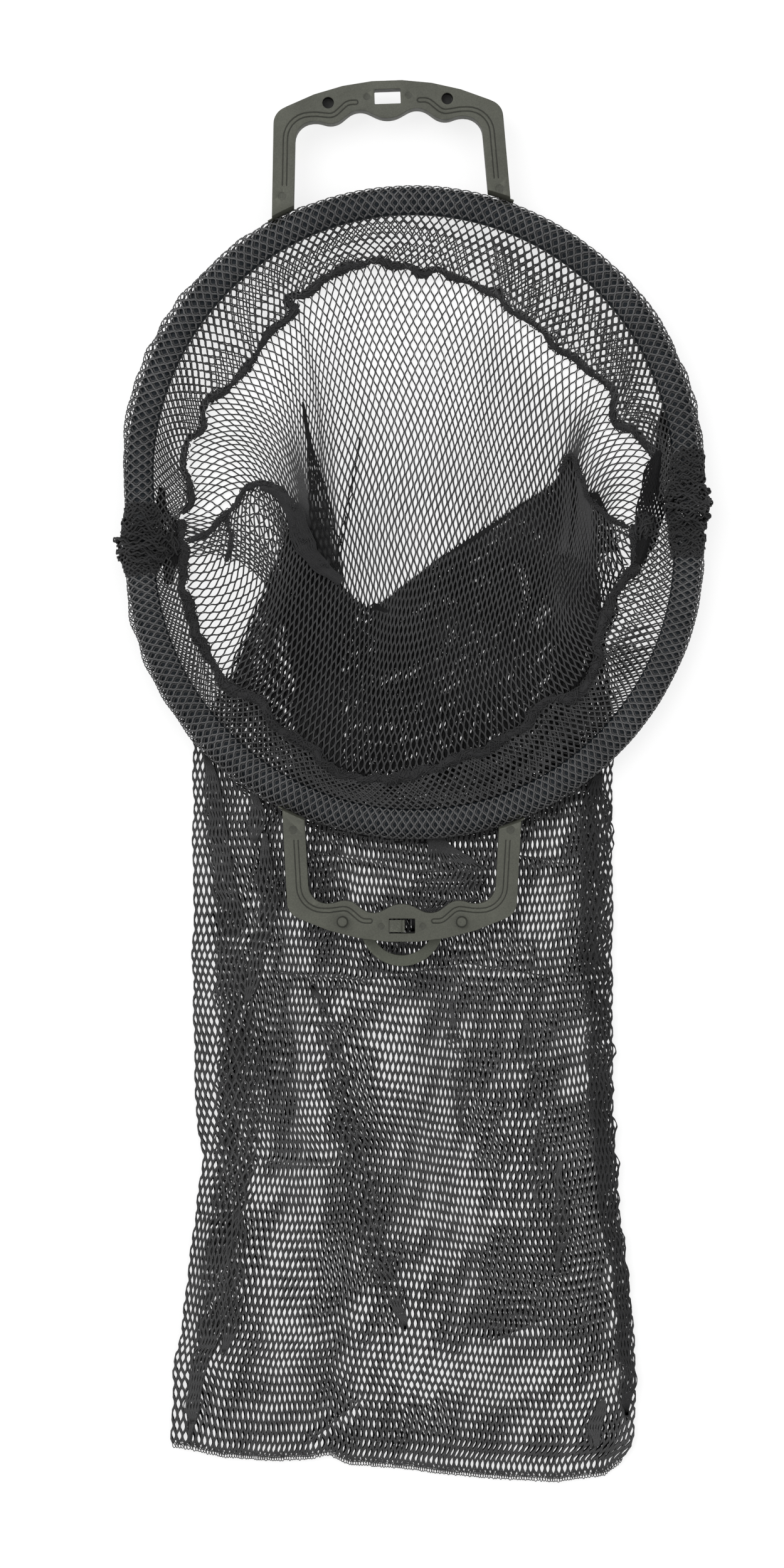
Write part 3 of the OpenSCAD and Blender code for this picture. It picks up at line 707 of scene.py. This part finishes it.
# The fold at the top of the slack front wall, from the left hinge to the right one.
FOLD = [
    (-119, -17), (-104, -10), (-89, 6), (-80, 14), (-70, 16), (-61, 9), (-56, -8), (-48, -22),
    (-40, -29), (-18, -48), (2, -36), (19.7, -22.7), (43, -7), (66, 8), (82, 19), (90, 31),
    (96, 17), (101, 5), (118, -7), (128, -8)]
fold_curve = spline(FOLD, 500)
front_n, FRONT_ROW = 214, 4.9
w = np.interp(np.linspace(0, 1, front_n), [0, 0.17, 0.85, 1], [0.004, 0.2, 0.85, 0.996])
start = along(eased(lower_curve, 90), w)
inward = inward_of(start)
# Share of the seam against share of the fold: the sides of the seam feed its two ends.
reach_w = np.interp(w, [0, 0.2, 0.34, 0.5, 0.80, 0.84, 1],
        [0.045, 0.262, 0.395, 0.54, 0.81, 0.845, 1.0])
end = along(fold_curve, reach_w)
gap = np.linalg.norm(end - start, axis=-1, keepdims=True)
left_side = (1 - smooth(w, 0.16, 0.24))[:, None]
rise = unit(0.5 * inward + np.array([0.12, 0.9]) + left_side * np.array([0.1, 0.3]))
curves = bezier(start, start + (0.36 + 0.14 * left_side) * gap * inward,
        end - 0.36 * gap * rise, end, 40)
curves[..., 1] += 1.0 * wobble(31, curves[..., 0], curves[..., 1], 60) \
    * np.sin(pi * np.linspace(0, 1, 40))


def front_height(x, y):
    lump = 1.2 * wobble(32, x, y, 55)
    crease = np.exp(-(((x - 8) * 0.42 + (y + 66) * 0.9) / 7.0) ** 2) \
        * np.exp(-((x - 8) / 26) ** 2)
    return np.clip(3.5 + lump + 1.4 * crease, 3.0, 5.4)


front = Flow(curves, FRONT_ROW, front_height)
front_net = front.build(seed=8, thick=0.55, cross=0.78).make("front_wall_net", front_thread)


def behind_wall(name, strands, from_share, to_share, ends, level, step, seed):
    """Behind the fold the slack wall goes down to the bag again, doubled over."""
    f = np.linspace(0, 1, strands)
    top = along(fold_curve, from_share + (to_share - from_share) * f)
    top = top + np.array([0, -1.5]) * level
    end_x = ends[0] + (ends[1] - ends[0]) * f
    end = joined(end_x, tube_low(end_x))
    bow = np.array([1.0, 0]) * (16 * np.sin(pi * f) * (-1) ** level)[:, None]
    paths = bezier(top, top + 0.35 * (end - top) + bow, end + 0.35 * (top - end), end, 50)

    def height(x, y):
        return 1.55 + 0.72 * level + 0.25 * wobble(33 + level, x, y, 50)
    made = Flow(paths, step, height).build(
        seed=seed, thick=0.86, cross=1.25, at=(0, 0.3, 0.5, 0.7))
    # The near-black thread is painted shade under the fold.
    return made.make(name, shaded_thread)


behind_net = behind_wall("front_wall_behind_net", 176, 0.25, 0.91, (-105, 113), 0, 4.9, 9)
doubled_net = behind_wall("front_wall_doubled_net", 166, 0.255, 0.905, (-102, 112), 1, 4.6, 10)
for ob in (front_net, behind_net, doubled_net):
    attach(ob, "lower_frame")
    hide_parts("front_panel")


def ribbon(name, points, strands, z, arch, mat, seed, thick=0.6, step=4.9):
    """Net drawn together into a roll or a pleat, whose threads run side by side; points are x,
    y and width, in the direction the threads run."""
    p = np.array(points, float)
    run = np.concatenate([[0], np.cumsum(np.hypot(*np.diff(p[:, :2], axis=0).T))])
    rows = max(int(run[-1] / step), 1)
    line = spline(p[:, :2], 200)
    way = unit(np.gradient(line, axis=0))
    share = np.linspace(0, 1, 200)

    def place(u, v):
        u, v = np.broadcast_arrays(u, v)
        f = np.clip(v / rows, 0, 1)
        at = along(line, f)
        tx, ty = np.interp(f, share, way[:, 0]), np.interp(f, share, way[:, 1])
        wide = np.interp(f, run / run[-1], p[:, 2])
        q = 2 * (u + 0.5) / strands - 1
        off = q * wide / 2 * (1 + 0.12 * wobble(seed, f * run[-1], q * 9, 14))
        zz = z + arch * (1 - q * q) + 0.3 * wobble(seed + 1, f * run[-1], q * 5, 11)
        return joined(at[..., 0] - ty * off, at[..., 1] + tx * off, zz)
    made = net(place, strands, rows, thick, thick * 1.4, seed=seed, at=(0, 0.3, 0.5, 0.7))
    made = made.make(name, mat)
    return made


# The pleats below are in the near-black thread, as painted shade.
back_pleat = ribbon("back_wall_pleat_net", [
    (-53, 60, 1.2), (-49.5, 38, 2.5), (-46, 20, 8), (-43.5, 0, 13), (-40, -24, 16),
    (-38, -40, 16)], 11, 1.6, 0.5, shaded_thread, 51, 0.5)
side_pleat = ribbon("back_wall_side_pleat_net", [
    (-22, 42, 0.8), (-26, 20, 2.2), (-30, -2, 2.6), (-35, -26, 3), (-37, -38, 3)],
    2, 1.5, 0.4, shaded_thread, 54, 0.42)
# The fold's rolled left arm, in the darker thread as painted shade.
fold_roll = ribbon("fold_roll_net", [
    (-76, 14, 3), (-66, 11, 5), (-59, 2, 8), (-54.5, -9, 11), (-51, -19, 11), (-44, -27, 8),
    (-32, -37, 4)], 17, 4.6, 0.8, dark_thread, 52, 0.7)
# A near-black net laid just under the front wall along its crease, as painted shade.
deep_fold_shade = ribbon("deep_fold_shade_net", [
    (-16, -48, 2), (-8, -54, 8), (3, -60, 12), (13, -64.5, 11), (24, -65, 2)],
    16, 2.9, 0.2, shaded_thread, 53, 0.7)
right_pleat = ribbon("front_wall_side_pleat_net", [
    (101, 12, 6), (106, -8, 15), (108.5, -28, 19), (107.5, -48, 17), (104, -68, 10)],
    15, 2.6, 0.6, shaded_thread, 57, 0.66)
# Gathered net under the tube's lower edge, in near-black thread: the gather, and painted shadow of
# the tube.
arc = np.radians(np.linspace(-128, -52, 9))
top_gather_and_shadow = ribbon("bag_top_gather_and_shadow_net", [
    (SHIFT + 155 * cos(t), -20 + 155 * sin(t), 5 + 2.5 * sin(5 * t))
    for t in arc], 7, 0.95, 0.3, shaded_thread, 55, 0.7)
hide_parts("bag_body")
for ob in (fold_roll, deep_fold_shade, right_pleat, top_gather_and_shadow):
    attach(ob, "lower_frame")
for ob in (back_pleat, side_pleat):
    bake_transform(ob)

# The rolled edges of the fold.
rope("fold_edge_rope", fold_curve[8:175], 4.4, "lower_frame", None, 41, 0.9, 4)
rope("right_fold_rope", fold_curve[395:490], 4.4, "lower_frame", None, 42, 0.8, 4)
tail = spline([(-95, 1), (-92.5, -8), (-92, -18), (-93.5, -26)], 60)
rope("loose_tail_rope", tail, 4.2, "lower_frame", None, 43, 0.7, 3)


# ---- The bag below the hoop ----
EDGE_DOWN = [100, 150, 228, 310, 342, 372, 410, 457, 496, 505]
LEFT_X = [-112, -110.5, -111.7, -110, -106.5, -109, -114, -121.5, -123.5, -123.5]
RIGHT_X = [114, 112, 111.7, 112.2, 113.2, 116, 121, 124.5, 123, 117]
BOTTOM_W = [0, 0.1, 0.22, 0.3, 0.345, 0.39, 0.5, 0.62, 0.74, 0.86, 0.96, 1]
BOTTOM_Y = [-496, -502, -504, -503.5, -501, -506, -508, -511.5, -514, -515.5, -512, -505]
BAG_PITCH = 1.34
BAG_ROW = 4.85
BAG_START, BAG_END, BAG_W = -104.0, -507.0, 226.0
STILL = -510.0      # where the bag's waves have died away, towards its bottom

# Where the two layers slip past each other, so that less light comes through: the middle,
# the half sizes and how far, in strands; 0 is where the layers lie true.
SLIPS = [
    (27, -191, 22, 12, 1.0), (-2, -172, 40, 5, 0.9), (-48, -340, 5, 60, 0), (-28, -270, 9, 26, 0),
    (4, -320, 6, 34, 0.9), (48, -300, 6, 50, 0.9), (58, -390, 6, 40, 0.8), (6, -462, 7, 14, 0),
    (36, -376, 30, 5, 0), (-66, -300, 6, 50, 0.9), (-34, -440, 6, 30, 0.8),
    (-25, -295, 15, 55, 0.9), (-14, -375, 14, 45, 0.9), (-35, -250, 60, 7, 0.7),
    (15, -250, 40, 9, 0.9), (60, -205, 50, 16, 0.6), (30, -190, 40, 8, 0.8),
    (66, -330, 12, 60, 0.7), (84, -375, 10, 40, 0.9), (50, -431, 45, 6, 0.9),
    (-20, -450, 40, 14, 0.7), (10, -478, 30, 10, 0.8), (-70, -480, 25, 12, 0.5),
    (20, -400, 22, 30, 0.5), (-95, -200, 8, 40, 0.6), (60, -270, 20, 16, 0.5),
    (-61, -410, 11, 60, 0), (-5, -290, 14, 40, 0), (20, -330, 18, 45, 0), (-18, -196, 16, 13, 0),
    (74, -215, 16, 26, 0), (45, -460, 60, 16, 0), (-104, -290, 7, 45, 0), (-50, -300, 8, 40, 0),
    (30, -370, 14, 30, 0), (3, -218, 13, 8, 1.0), (-43, -188, 9, 20, 0.9), (-60, -508, 80, 7, 0),
    (60, -510, 80, 7, 0), (95, -290, 8, 30, 0)]
# Pleats in the front layer: height, left edge and right edge, downwards. The first ones show
# their lower layer too. One pleat's upper layer is in darker thread, as painted shade of its fold.
DOUBLE_PLEATS, SHADED_PLEAT = 6, 3
PLEATS = [
    [(-128, -108, -100), (-161, -103.7, -95.3), (-211, -98, -86.3), (-251, -98, -82),
     (-294, -97, -74), (-344, -98, -76), (-394, -103.7, -91), (-432, -107.7, -95.3),
     (-467, -114.5, -107.5), (-497, -115, -111.5)],
    [(-172, -77, -70), (-211, -75.3, -67), (-244, -83.7, -75), (-262, -88, -80)],
    [(-366, -91, -84), (-394, -95, -83), (-425, -99, -86), (-448, -98, -89)],
    [(-140, 96, 112), (-241, 95.3, 110.5), (-261, 99, 111), (-310, 99.7, 112), (-344, 103, 114),
     (-377, 107, 116), (-411, 113, 121), (-461, 117, 124), (-484, 116, 123)],
    [(-347, 81, 87), (-375, 82, 89), (-405, 80, 86)],
    [(-474, 101, 112), (-488, 96, 110), (-500, 99, 107)],
    [(-174, 4, 34), (-190, 8, 46), (-206, 2, 40), (-226, -4, 14)],
    [(-252, -50, -44), (-268, -47, -38), (-300, -40, -26), (-340, -33, -18), (-392, -22, -8),
     (-428, -4, 3), (-438, 0, 3)],
    [(-262, 24, 30), (-300, 26, 34), (-330, 30, 36)],
    [(-268, 62, 68), (-300, 64, 73), (-350, 68, 76), (-372, 70, 74)],
    [(-150, -84, -72), (-165, -86, -70), (-178, -84, -76)]]
# Sharp folds across the bag: from, to and half width.
CREASES = [
    ((-66, -245), (-20, -249), 4), ((-20, -249), (34, -240), 4.5), ((34, -240), (78, -247), 3.5),
    ((22, -437), (50, -441), 3), ((50, -441), (82, -428), 3), ((-50, -496), (-22, -473), 3.5),
    ((-22, -473), (10, -476), 3), ((-74, -346), (-30, -349), 3.5), ((-48, -181), (-8, -187), 4),
    ((60, -182), (104, -190), 4), ((66, -416), (90, -404), 3), ((-112, -373), (-96, -377), 3)]


def edges(y):
    """The bag's left and right edge at a height."""
    ripple = 0.7 * wobble(51, -y, 0, 30)
    return (np.interp(-y, EDGE_DOWN, LEFT_X) + ripple,
            np.interp(-y, EDGE_DOWN, RIGHT_X) + 0.6 * ripple)


def slip(x, y):
    """How far the front layer has slipped past the back one, in strands."""
    by = 0.7 + 0.4 * wobble(65, x * 1.5, y * 0.7, 42)
    for mx, my, rx, ry, amount in SLIPS:
        near = np.exp(-((x - mx) / rx) ** 2 - ((y - my) / ry) ** 2)
        by = by * (1 - near) + near * amount
    return np.clip(by, 0, 1.0)


def creased(x, y, z):
    """Draws the net together at its folds and lifts it there."""
    for (x0, y0), (x1, y1), width in CREASES:
        length = hypot(x1 - x0, y1 - y0)
        ax, ay = (x1 - x0) / length, (y1 - y0) / length
        off = (x - x0) * -ay + (y - y0) * ax
        run = ((x - x0) * ax + (y - y0) * ay) / length
        mask = smooth(run, -0.12, 0.1) * (1 - smooth(run, 0.9, 1.12))
        q = off / width
        pull = -0.95 * width * q * np.exp(-q * q) * mask
        x, y = x - ay * pull, y + ax * pull
        z = z + 0.7 * np.exp(-q * q) * mask
    return x, y, z


def stretched(x, y):
    """The slow waves that both layers share."""
    return x + 2.0 * wobble(61, x, y * 0.5, 55), y + 1.6 * wobble(62, x * 0.6, y, 70)


def bag_layer(front_side, strands, rows):
    def place(u, v):
        u, v = np.broadcast_arrays(u, v)
        w = u / (strands - 1)
        bottom = np.interp(np.clip(w, 0, 1), BOTTOM_W, BOTTOM_Y)
        f = v / rows
        y = BAG_START + (bottom - BAG_START) * f
        y = y + 3.0 * (1 - smooth(-y, 440, 500)) * np.cos(w * pi * 1.5)
        left, right = edges(y)
        x = left + w * (right - left)
        inside = smooth(np.minimum(w, 1 - w), 0, 0.06)
        mx, my = stretched(x, y)
        x = x + (mx - x) * inside
        y = y + (my - y) * smooth(y - STILL, 0, 30)
        if not front_side:
            return joined(x, y, 0.6 + 0.12 * wobble(73, x, y, 40))
        by = slip(x, y) + 0.22 * wobble(67, x, y * 0.6, 13)
        x = x + BAG_PITCH * by * inside
        y = y + 0.1 * BAG_ROW * wobble(68, x, y, 17) * smooth(y - STILL, 0, 30)
        closed = np.clip(0.38 + 0.7 * wobble(69, x, y * 0.6, 48), 0, 1)
        y = y + BAG_ROW * (0.12 * wobble(66, x, y, 85) + 0.08 + 0.5 * by * closed) * inside \
            * smooth(y - STILL, 0, 30)
        z = 1.5 + 1.5 * smooth(-y, 175, 200) - 1.2 * smooth(-y, 490, 512)
        z = z + 0.35 * wobble(63, x, y, 24) * smooth(-y, 168, 190)
        x, y, z = creased(x, y, z)
        return joined(x, y, np.clip(z, 1.2, 5.6))
    return place


def below_tube(points):
    return points[..., 1] < tube_low(points[..., 0]) + 3


def bag_piece(ob):
    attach(ob, "lower_frame")
    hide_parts("bag_body")


bag_rows = int((BAG_START - BAG_END) / BAG_ROW)
bag_strands = int(BAG_W / BAG_PITCH)
# The back layer is in the near-black thread, as painted shade under the front one.
for front_side, parts in ((False, 3), (True, 4)):
    place = bag_layer(front_side, bag_strands, bag_rows)
    cuts = [bag_strands * k // parts for k in range(parts + 1)]
    for k in range(parts):
        made = net(place, cuts[k + 1] - cuts[k], bag_rows, first=cuts[k], keep=below_tube,
                seed=20 + cuts[k], sides=4 if front_side else 3, thick=0.67, cross=1.02,
                short=0.9, at=(0, 0.24, 0.42, 0.58, 0.76))
        bag_piece(made.make(f"bag_{'front' if front_side else 'back'}_net_{k + 1}",
                bag_thread if front_side else shaded_thread))


def hem():
    """The hem's small round loops along the bag's bottom edge."""
    t = Threads(4)
    place = bag_layer(True, bag_strands, bag_rows)
    at = place(np.arange(1, bag_strands - 1, 0.9)[:, None], np.array([[bag_rows * 1.0]]))[:, 0]
    a = np.linspace(0, 2 * pi, 11)[:-1]
    rng = np.random.default_rng(77)
    for row in range(2):
        for x, y, z in at:
            w, h = rng.uniform(0.6, 0.95), rng.uniform(1.2, 1.9)
            y0 = y - 0.3 + 1.5 * row
            ring = joined(x + 0.6 * row + w * np.cos(a), y0 + h * np.sin(a),
                    z + 0.2 * row + 0.2 * np.sin(a + x))[None]
            t.add(ring, UP, 0.42, 0.4, closed=True)
    return t.make("bag_hem_net", bag_thread)


bag_piece(hem())


def pleat(points, level, seed):
    """One folded-over layer of a pleat, between its two edges."""
    top = np.array(points, float)
    rows = int((top[0, 0] - top[-1, 0]) / BAG_ROW)
    strands = max(int(np.mean(top[:, 2] - top[:, 1]) / 1.08), 4)

    def place(u, v):
        u, v = np.broadcast_arrays(u, v)
        y = top[0, 0] + (top[-1, 0] - top[0, 0]) * v / rows + 1.6 * level
        lo = np.interp(-y, -top[:, 0], top[:, 1]) + 1.3 * wobble(seed, y, 0, 19)
        hi = np.interp(-y, -top[:, 0], top[:, 2]) + 1.3 * wobble(seed + 1, y, 0, 17)
        ends = 0.3 + 0.7 * smooth(v, 0, 4) * (1 - smooth(v, rows - 4, rows))
        x = lo + (hi - lo) * (0.5 + ends * ((u + 0.5 * level) / (strands - 0.5) - 0.5))
        z = 2.1 + (0.9 + 0.4 * (seed % 3) if level > 0 else 1.6) * level \
            + 1.3 * smooth(-y, 175, 200) - 1.3 * smooth(-y, 485, 510)
        return joined(x, y, np.clip(z, 0.6, 5.6))
    return net(place, strands, rows, 0.55, 0.88, seed=seed, keep=below_tube, short=0.95)


for k, points in enumerate(PLEATS):
    if k < DOUBLE_PLEATS:
        under = pleat(points, -0.6, 300 + k)
        bag_piece(under.make(f"pleat_{k + 1}_under_net", bag_thread))
    over = pleat(points, 1.0, 400 + k)
    # That pleat's upper layer gets the darker thread, as painted shade of its fold.
    bag_piece(over.make(f"pleat_{k + 1}_over_net", dark_thread if k == SHADED_PLEAT else bag_thread))


# ---- Net bunched round the hinges ----
def hinge_bunch(name, x_mid, y_lo, y_hi, fat_y, fat, seed):
    """Sleeve net drawn together round the hoop's ends, in two layers."""
    t = Threads(4)
    lobes, n = 15, 90
    rng = np.random.default_rng(seed)
    turn = np.linspace(0, 2 * pi, n, endpoint=False)[None, :]
    for inner, pitch in ((0, 1.25), (1, 1.1)):
        loops = int((y_hi - y_lo) / pitch)
        y = np.linspace(y_lo, y_hi, loops)[:, None]
        i = np.arange(loops)[:, None]
        bulge = np.exp(-((y - fat_y) / 9.0) ** 2)
        taper = smooth(y, y_lo, y_lo + 5) * (1 - smooth(y, y_hi - 5, y_hi))
        near = np.exp(-(y / 7.0) ** 2)
        r = 8.1 - 0.9 * inner + (fat * bulge + 0.9) * taper
        r = r + 1.1 * wobble(seed, y * 2.4, turn * 22, 14) * taper * (0.5 + bulge)
        r = r + rng.uniform(-0.15, 0.25, size=(loops, 1))
        zig = np.cos(turn * lobes + inner) * (-1.0) ** i * 0.5 * pitch
        at_y = y + zig + 1.5 * wobble(seed + 1, turn * 12, y * 2, 13) * taper
        x = x_mid + r * np.cos(turn)
        z = HOOP_Z + 0.3 + 1.6 * near + (r + 3.4 * near) * np.sin(turn)
        z = np.clip(z, 0.9 + 0.3 * inner, 25.6 - inner)
        paths = joined(x, at_y + x_mid * tan(LEAN), z)
        ups = paths - np.array([x_mid, 0, HOOP_Z])
        ups[..., 1] = 0
        t.add(paths, unit(ups), 0.85, 0.75, closed=True)
    ob = t.make(name, dark_thread)
    with_hinge(ob)
    return ob


def with_hinge(ob):
    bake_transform(ob)


left_bunch = hinge_bunch("left_hinge_bunch", SHIFT - HOOP_R, -31, 6, -16, 3.6, 81)
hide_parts("left_gather")
right_bunch = hinge_bunch("right_hinge_bunch", SHIFT + HOOP_R, -26, 30, 1, 2.6, 82)
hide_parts("right_gather")
# The gathers beside the hinges are in the near-black thread, as painted shade.
left_gather = ribbon("left_gather_net", [
    (-128.5, 14, 3), (-128, 2, 6), (-125, -8, 12), (-123, -18, 12), (-123.5, -27, 8),
    (-125, -38, 3)], 12, 4.2, 3.0, shaded_thread, 83, 0.9, 2.4)
right_gather = ribbon("right_gather_net", [
    (140, 54, 3), (138.5, 36, 6), (135, 20, 12), (132.5, 4, 15), (130.5, -12, 12),
    (126, -27, 5)], 16, 4.2, 3.4, shaded_thread, 84, 0.9, 2.4)
with_hinge(left_gather)
with_hinge(right_gather)


def knot(name, middle, size, loops, seed):
    """A tangle of bunched net between the tube and the seam's end."""
    rng = np.random.default_rng(seed)
    n = 26
    a = np.linspace(0, 2 * pi, n, endpoint=False)
    paths = []
    for _ in range(loops):
        q = unit(rng.normal(size=3))
        p = unit(np.cross(q, rng.normal(size=3)))
        r = rng.uniform(0.35, 1.0)
        ring = np.outer(np.cos(a) * r, q) + np.outer(np.sin(a) * r * rng.uniform(0.4, 1), p)
        ring = ring + 0.12 * joined(*(np.sin(3 * a + rng.uniform(0, 6)) for _ in range(3)))
        ring = ring * np.array(size) + np.array(middle) + rng.normal(size=3) * 0.25 * np.array(size)
        ring[:, 2] = np.clip(ring[:, 2], 1.2, 17)
        paths.append(ring)
    paths = np.array(paths)
    t = Threads(4)
    t.add(paths, unit(paths - np.array(middle) + 0.01), 0.74, 0.68, closed=True)
    ob = t.make(name, dark_thread)
    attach(ob, "lower_frame")


knot("left_knot", (-124.5, -17, 6.2), (4.6, 6.5, 3.6), 54, 91)
knot("right_knot", (130, -7, 6.2), (5, 8, 3.8), 64, 92)


# ---- Moulded pieces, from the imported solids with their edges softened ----
LEG_CLEAR = (7.4, 11.0)     # from the tube's middle: under the netting, and clear of it
HOLES = [(23.9, 218.07), (-39.06, 215.87)]
MARKS = [(11.0, 8.4, 1.8), (-11.0, 8.4, 1.8), (57.5, 59.4, 2.2), (-57.5, 59.4, 2.2)]


def settled(ob, *modifiers):
    """Gives the object its own mesh with these modifiers applied."""
    for kind, values in modifiers:
        m = ob.modifiers.new(kind, kind)
        for k, v in values.items():
            setattr(m, k, v)
    bpy.context.view_layer.update()
    made = bpy.data.meshes.new_from_object(ob.evaluated_get(bpy.context.evaluated_depsgraph_get()))
    ob.modifiers.clear()
    ob.data = made
    return made


def moulded(node_name, body, mat, voxel, upper=False, marks_and_shade=False, passes=3, faces=90000):
    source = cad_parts[node_name]
    ob = placed(node_name + "_moulded", source.data.copy())
    ob.matrix_world = source.matrix_world.copy()
    made = settled(ob, ("WELD", {"merge_threshold": 0.00001}),
            ("REMESH", {"mode": "VOXEL", "voxel_size": voxel * MM, "adaptivity": 0}),
            ("SMOOTH", {"factor": 0.5, "iterations": passes}))
    made.transform(ob.matrix_world)
    ob.matrix_world.identity()
    co = np.empty(len(made.vertices) * 3, np.float32)
    made.vertices.foreach_get("co", co)
    co = co.reshape(-1, 3).astype(float)
    flat = co[:, :2] / MM
    if upper:
        flat = across_hinge(flat)
    u, v = flat[:, 0], flat[:, 1] + HANDLE_REACH
    dark = np.zeros(len(co))
    if marks_and_shade:
        top = co[:, 2] / MM > MATE_Z - 0.35
        for mu, mv, r in MARKS:
            d = np.hypot(u - mu, v - mv)
            inside = (1 - smooth(d, r - 0.15, r + 0.15)) * top
            co[:, 2] -= 0.16 * MM * inside
            dark = np.maximum(dark, 0.2 * inside + 0.16 * np.exp(-((d - r) / 0.3) ** 2) * top)
        high = co[:, 2] / MM
        # Painted shade on faces sunk below the mating face, in the channels and windows.
        recess_shade = smooth(MATE_Z - high, 0.08, 0.3) * (high > MATE_Z - 0.8)
        dark = np.maximum(dark, 0.5 * recess_shade)
        # Painted shade: black in the upper handle's blind holes, and a dark ring round the lower
        # handle's pegs.
        for pu, pv in across_hinge(np.array(HOLES)):
            d = np.hypot(u - pu, flat[:, 1] - pv)
            if upper:
                dark = np.maximum(dark, 1.0 * (d < 3.5) * (high < MATE_Z - 0.5))
            else:
                dark = np.maximum(dark, 0.6 * np.exp(-((d - 2.8) / 0.5) ** 2)
                        * (high > MATE_Z - 0.8))
        # The legs dip under the netting where they reach the tube.
        d = np.abs(np.hypot(u - SHIFT, flat[:, 1] + STRAIGHT) - HOOP_R)
        ceiling = HOOP_Z + np.sqrt(np.maximum(LEG_CLEAR[0] ** 2 - d ** 2, 0)) \
            + (MATE_Z + 3 - HOOP_Z) * smooth(d, *LEG_CLEAR)
        near = d < LEG_CLEAR[1]
        co[near, 2] = np.minimum(high[near], ceiling[near]) * MM
    made.vertices.foreach_set("co", co.astype(np.float32).ravel())
    field = made.attributes.new("mark_and_shade", "FLOAT", "POINT")
    field.data.foreach_set("value", dark.astype(np.float32))
    made = settled(ob, ("DECIMATE", {"ratio": min(1.0, faces / (2 * len(made.polygons)))}))
    made.shade_smooth()
    made.materials.clear()
    made.materials.append(mat)
    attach(ob, body)
    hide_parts(node_name)


moulded("lower_handle", "lower_frame", plastic, 0.2, marks_and_shade=True, passes=7)
moulded("upper_handle", "upper_frame", plastic, 0.2, upper=True, marks_and_shade=True,
        passes=7)
moulded("hang_loop", "lower_frame", loop_plastic, 0.24, faces=16000)
moulded("latch_tongue", "latch", plastic, 0.14, passes=2, faces=12000)

# ---- Carried-over nodes ----
LOOKS = ((hose, "lower_tube upper_tube"),
        (steel, "lower_wire upper_wire left_hinge_pin right_hinge_pin"),
        (hinge_plastic, "lower_left_lug lower_right_lug upper_left_lug upper_right_lug"))
for mat, names in LOOKS:
    for name in names.split():
        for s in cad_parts[name].material_slots:
            s.link = "OBJECT"
            s.material = mat

# ---- Floor, light and camera ----
HALF_FLOOR = 4.0
corners = [(x * HALF_FLOOR, y * HALF_FLOOR, 0) for x, y in ((-1, -1), (1, -1), (1, 1), (-1, 1))]
floor_mesh = bpy.data.meshes.new("floor")
floor_mesh.from_pydata(corners, [], [(0, 1, 2, 3)])
floor_mesh.materials.append(material("floor_paper", (0.8, 0.8, 0.8), 0.9, floor_nodes, 0.1))
floor = placed("floor", floor_mesh)
floor.location.z = -0.0002

PHOTO_MID = (-5.3, -144.3)
FRAME_H = 833.3             # height of what the photo shows
CAMERA_UP = 1600.0
AIM = (0, -0.14, 0)         # in metres, as the lamps are


def lamp(name, at, size, watts):
    light = bpy.data.lights.new(name, "AREA")
    light.shape = "DISK"
    light.size = size
    light.energy = watts
    ob = placed(name, light)
    ob.location = at
    d = np.array(AIM) - np.array(at)
    yaw = atan2(d[1], d[0])
    pitch = atan2(hypot(d[0], d[1]), -d[2])
    ob.rotation_euler = (pitch, 0, yaw - pi / 2)


lamp("key", (-1.5, 0.7, 1.9), 2.4, 27)
lamp("fill", (1.7, -0.5, 1.7), 2.0, 9)
lamp("top", (0.1, 1.3, 2.1), 2.0, 8)

world = bpy.data.worlds.new("studio")
bpy.context.scene.world = world
world.use_nodes = True
wt = world.node_tree
wt.nodes.clear()
seen = node(wt, "ShaderNodeBackground", Strength=1.0, Color=(1, 1, 1, 1))
soft = node(wt, "ShaderNodeBackground", Strength=0.5, Color=(1, 1, 1, 1))
shown_by_ray(wt, any_ray(wt, "Camera", "Transmission"), soft.outputs[0], seen.outputs[0],
        node(wt, "ShaderNodeOutputWorld"))

cam = bpy.data.cameras.new("camera")
cam.sensor_fit = "VERTICAL"
cam.sensor_height = 36.0
cam.lens = 36.0 * (CAMERA_UP - 11) / FRAME_H
cam.clip_end = 20
eye = placed("camera", cam)
eye.location = (PHOTO_MID[0] * MM, PHOTO_MID[1] * MM, CAMERA_UP * MM)
bpy.context.scene.camera = eye
bpy.context.scene.view_settings.view_transform = "Standard"
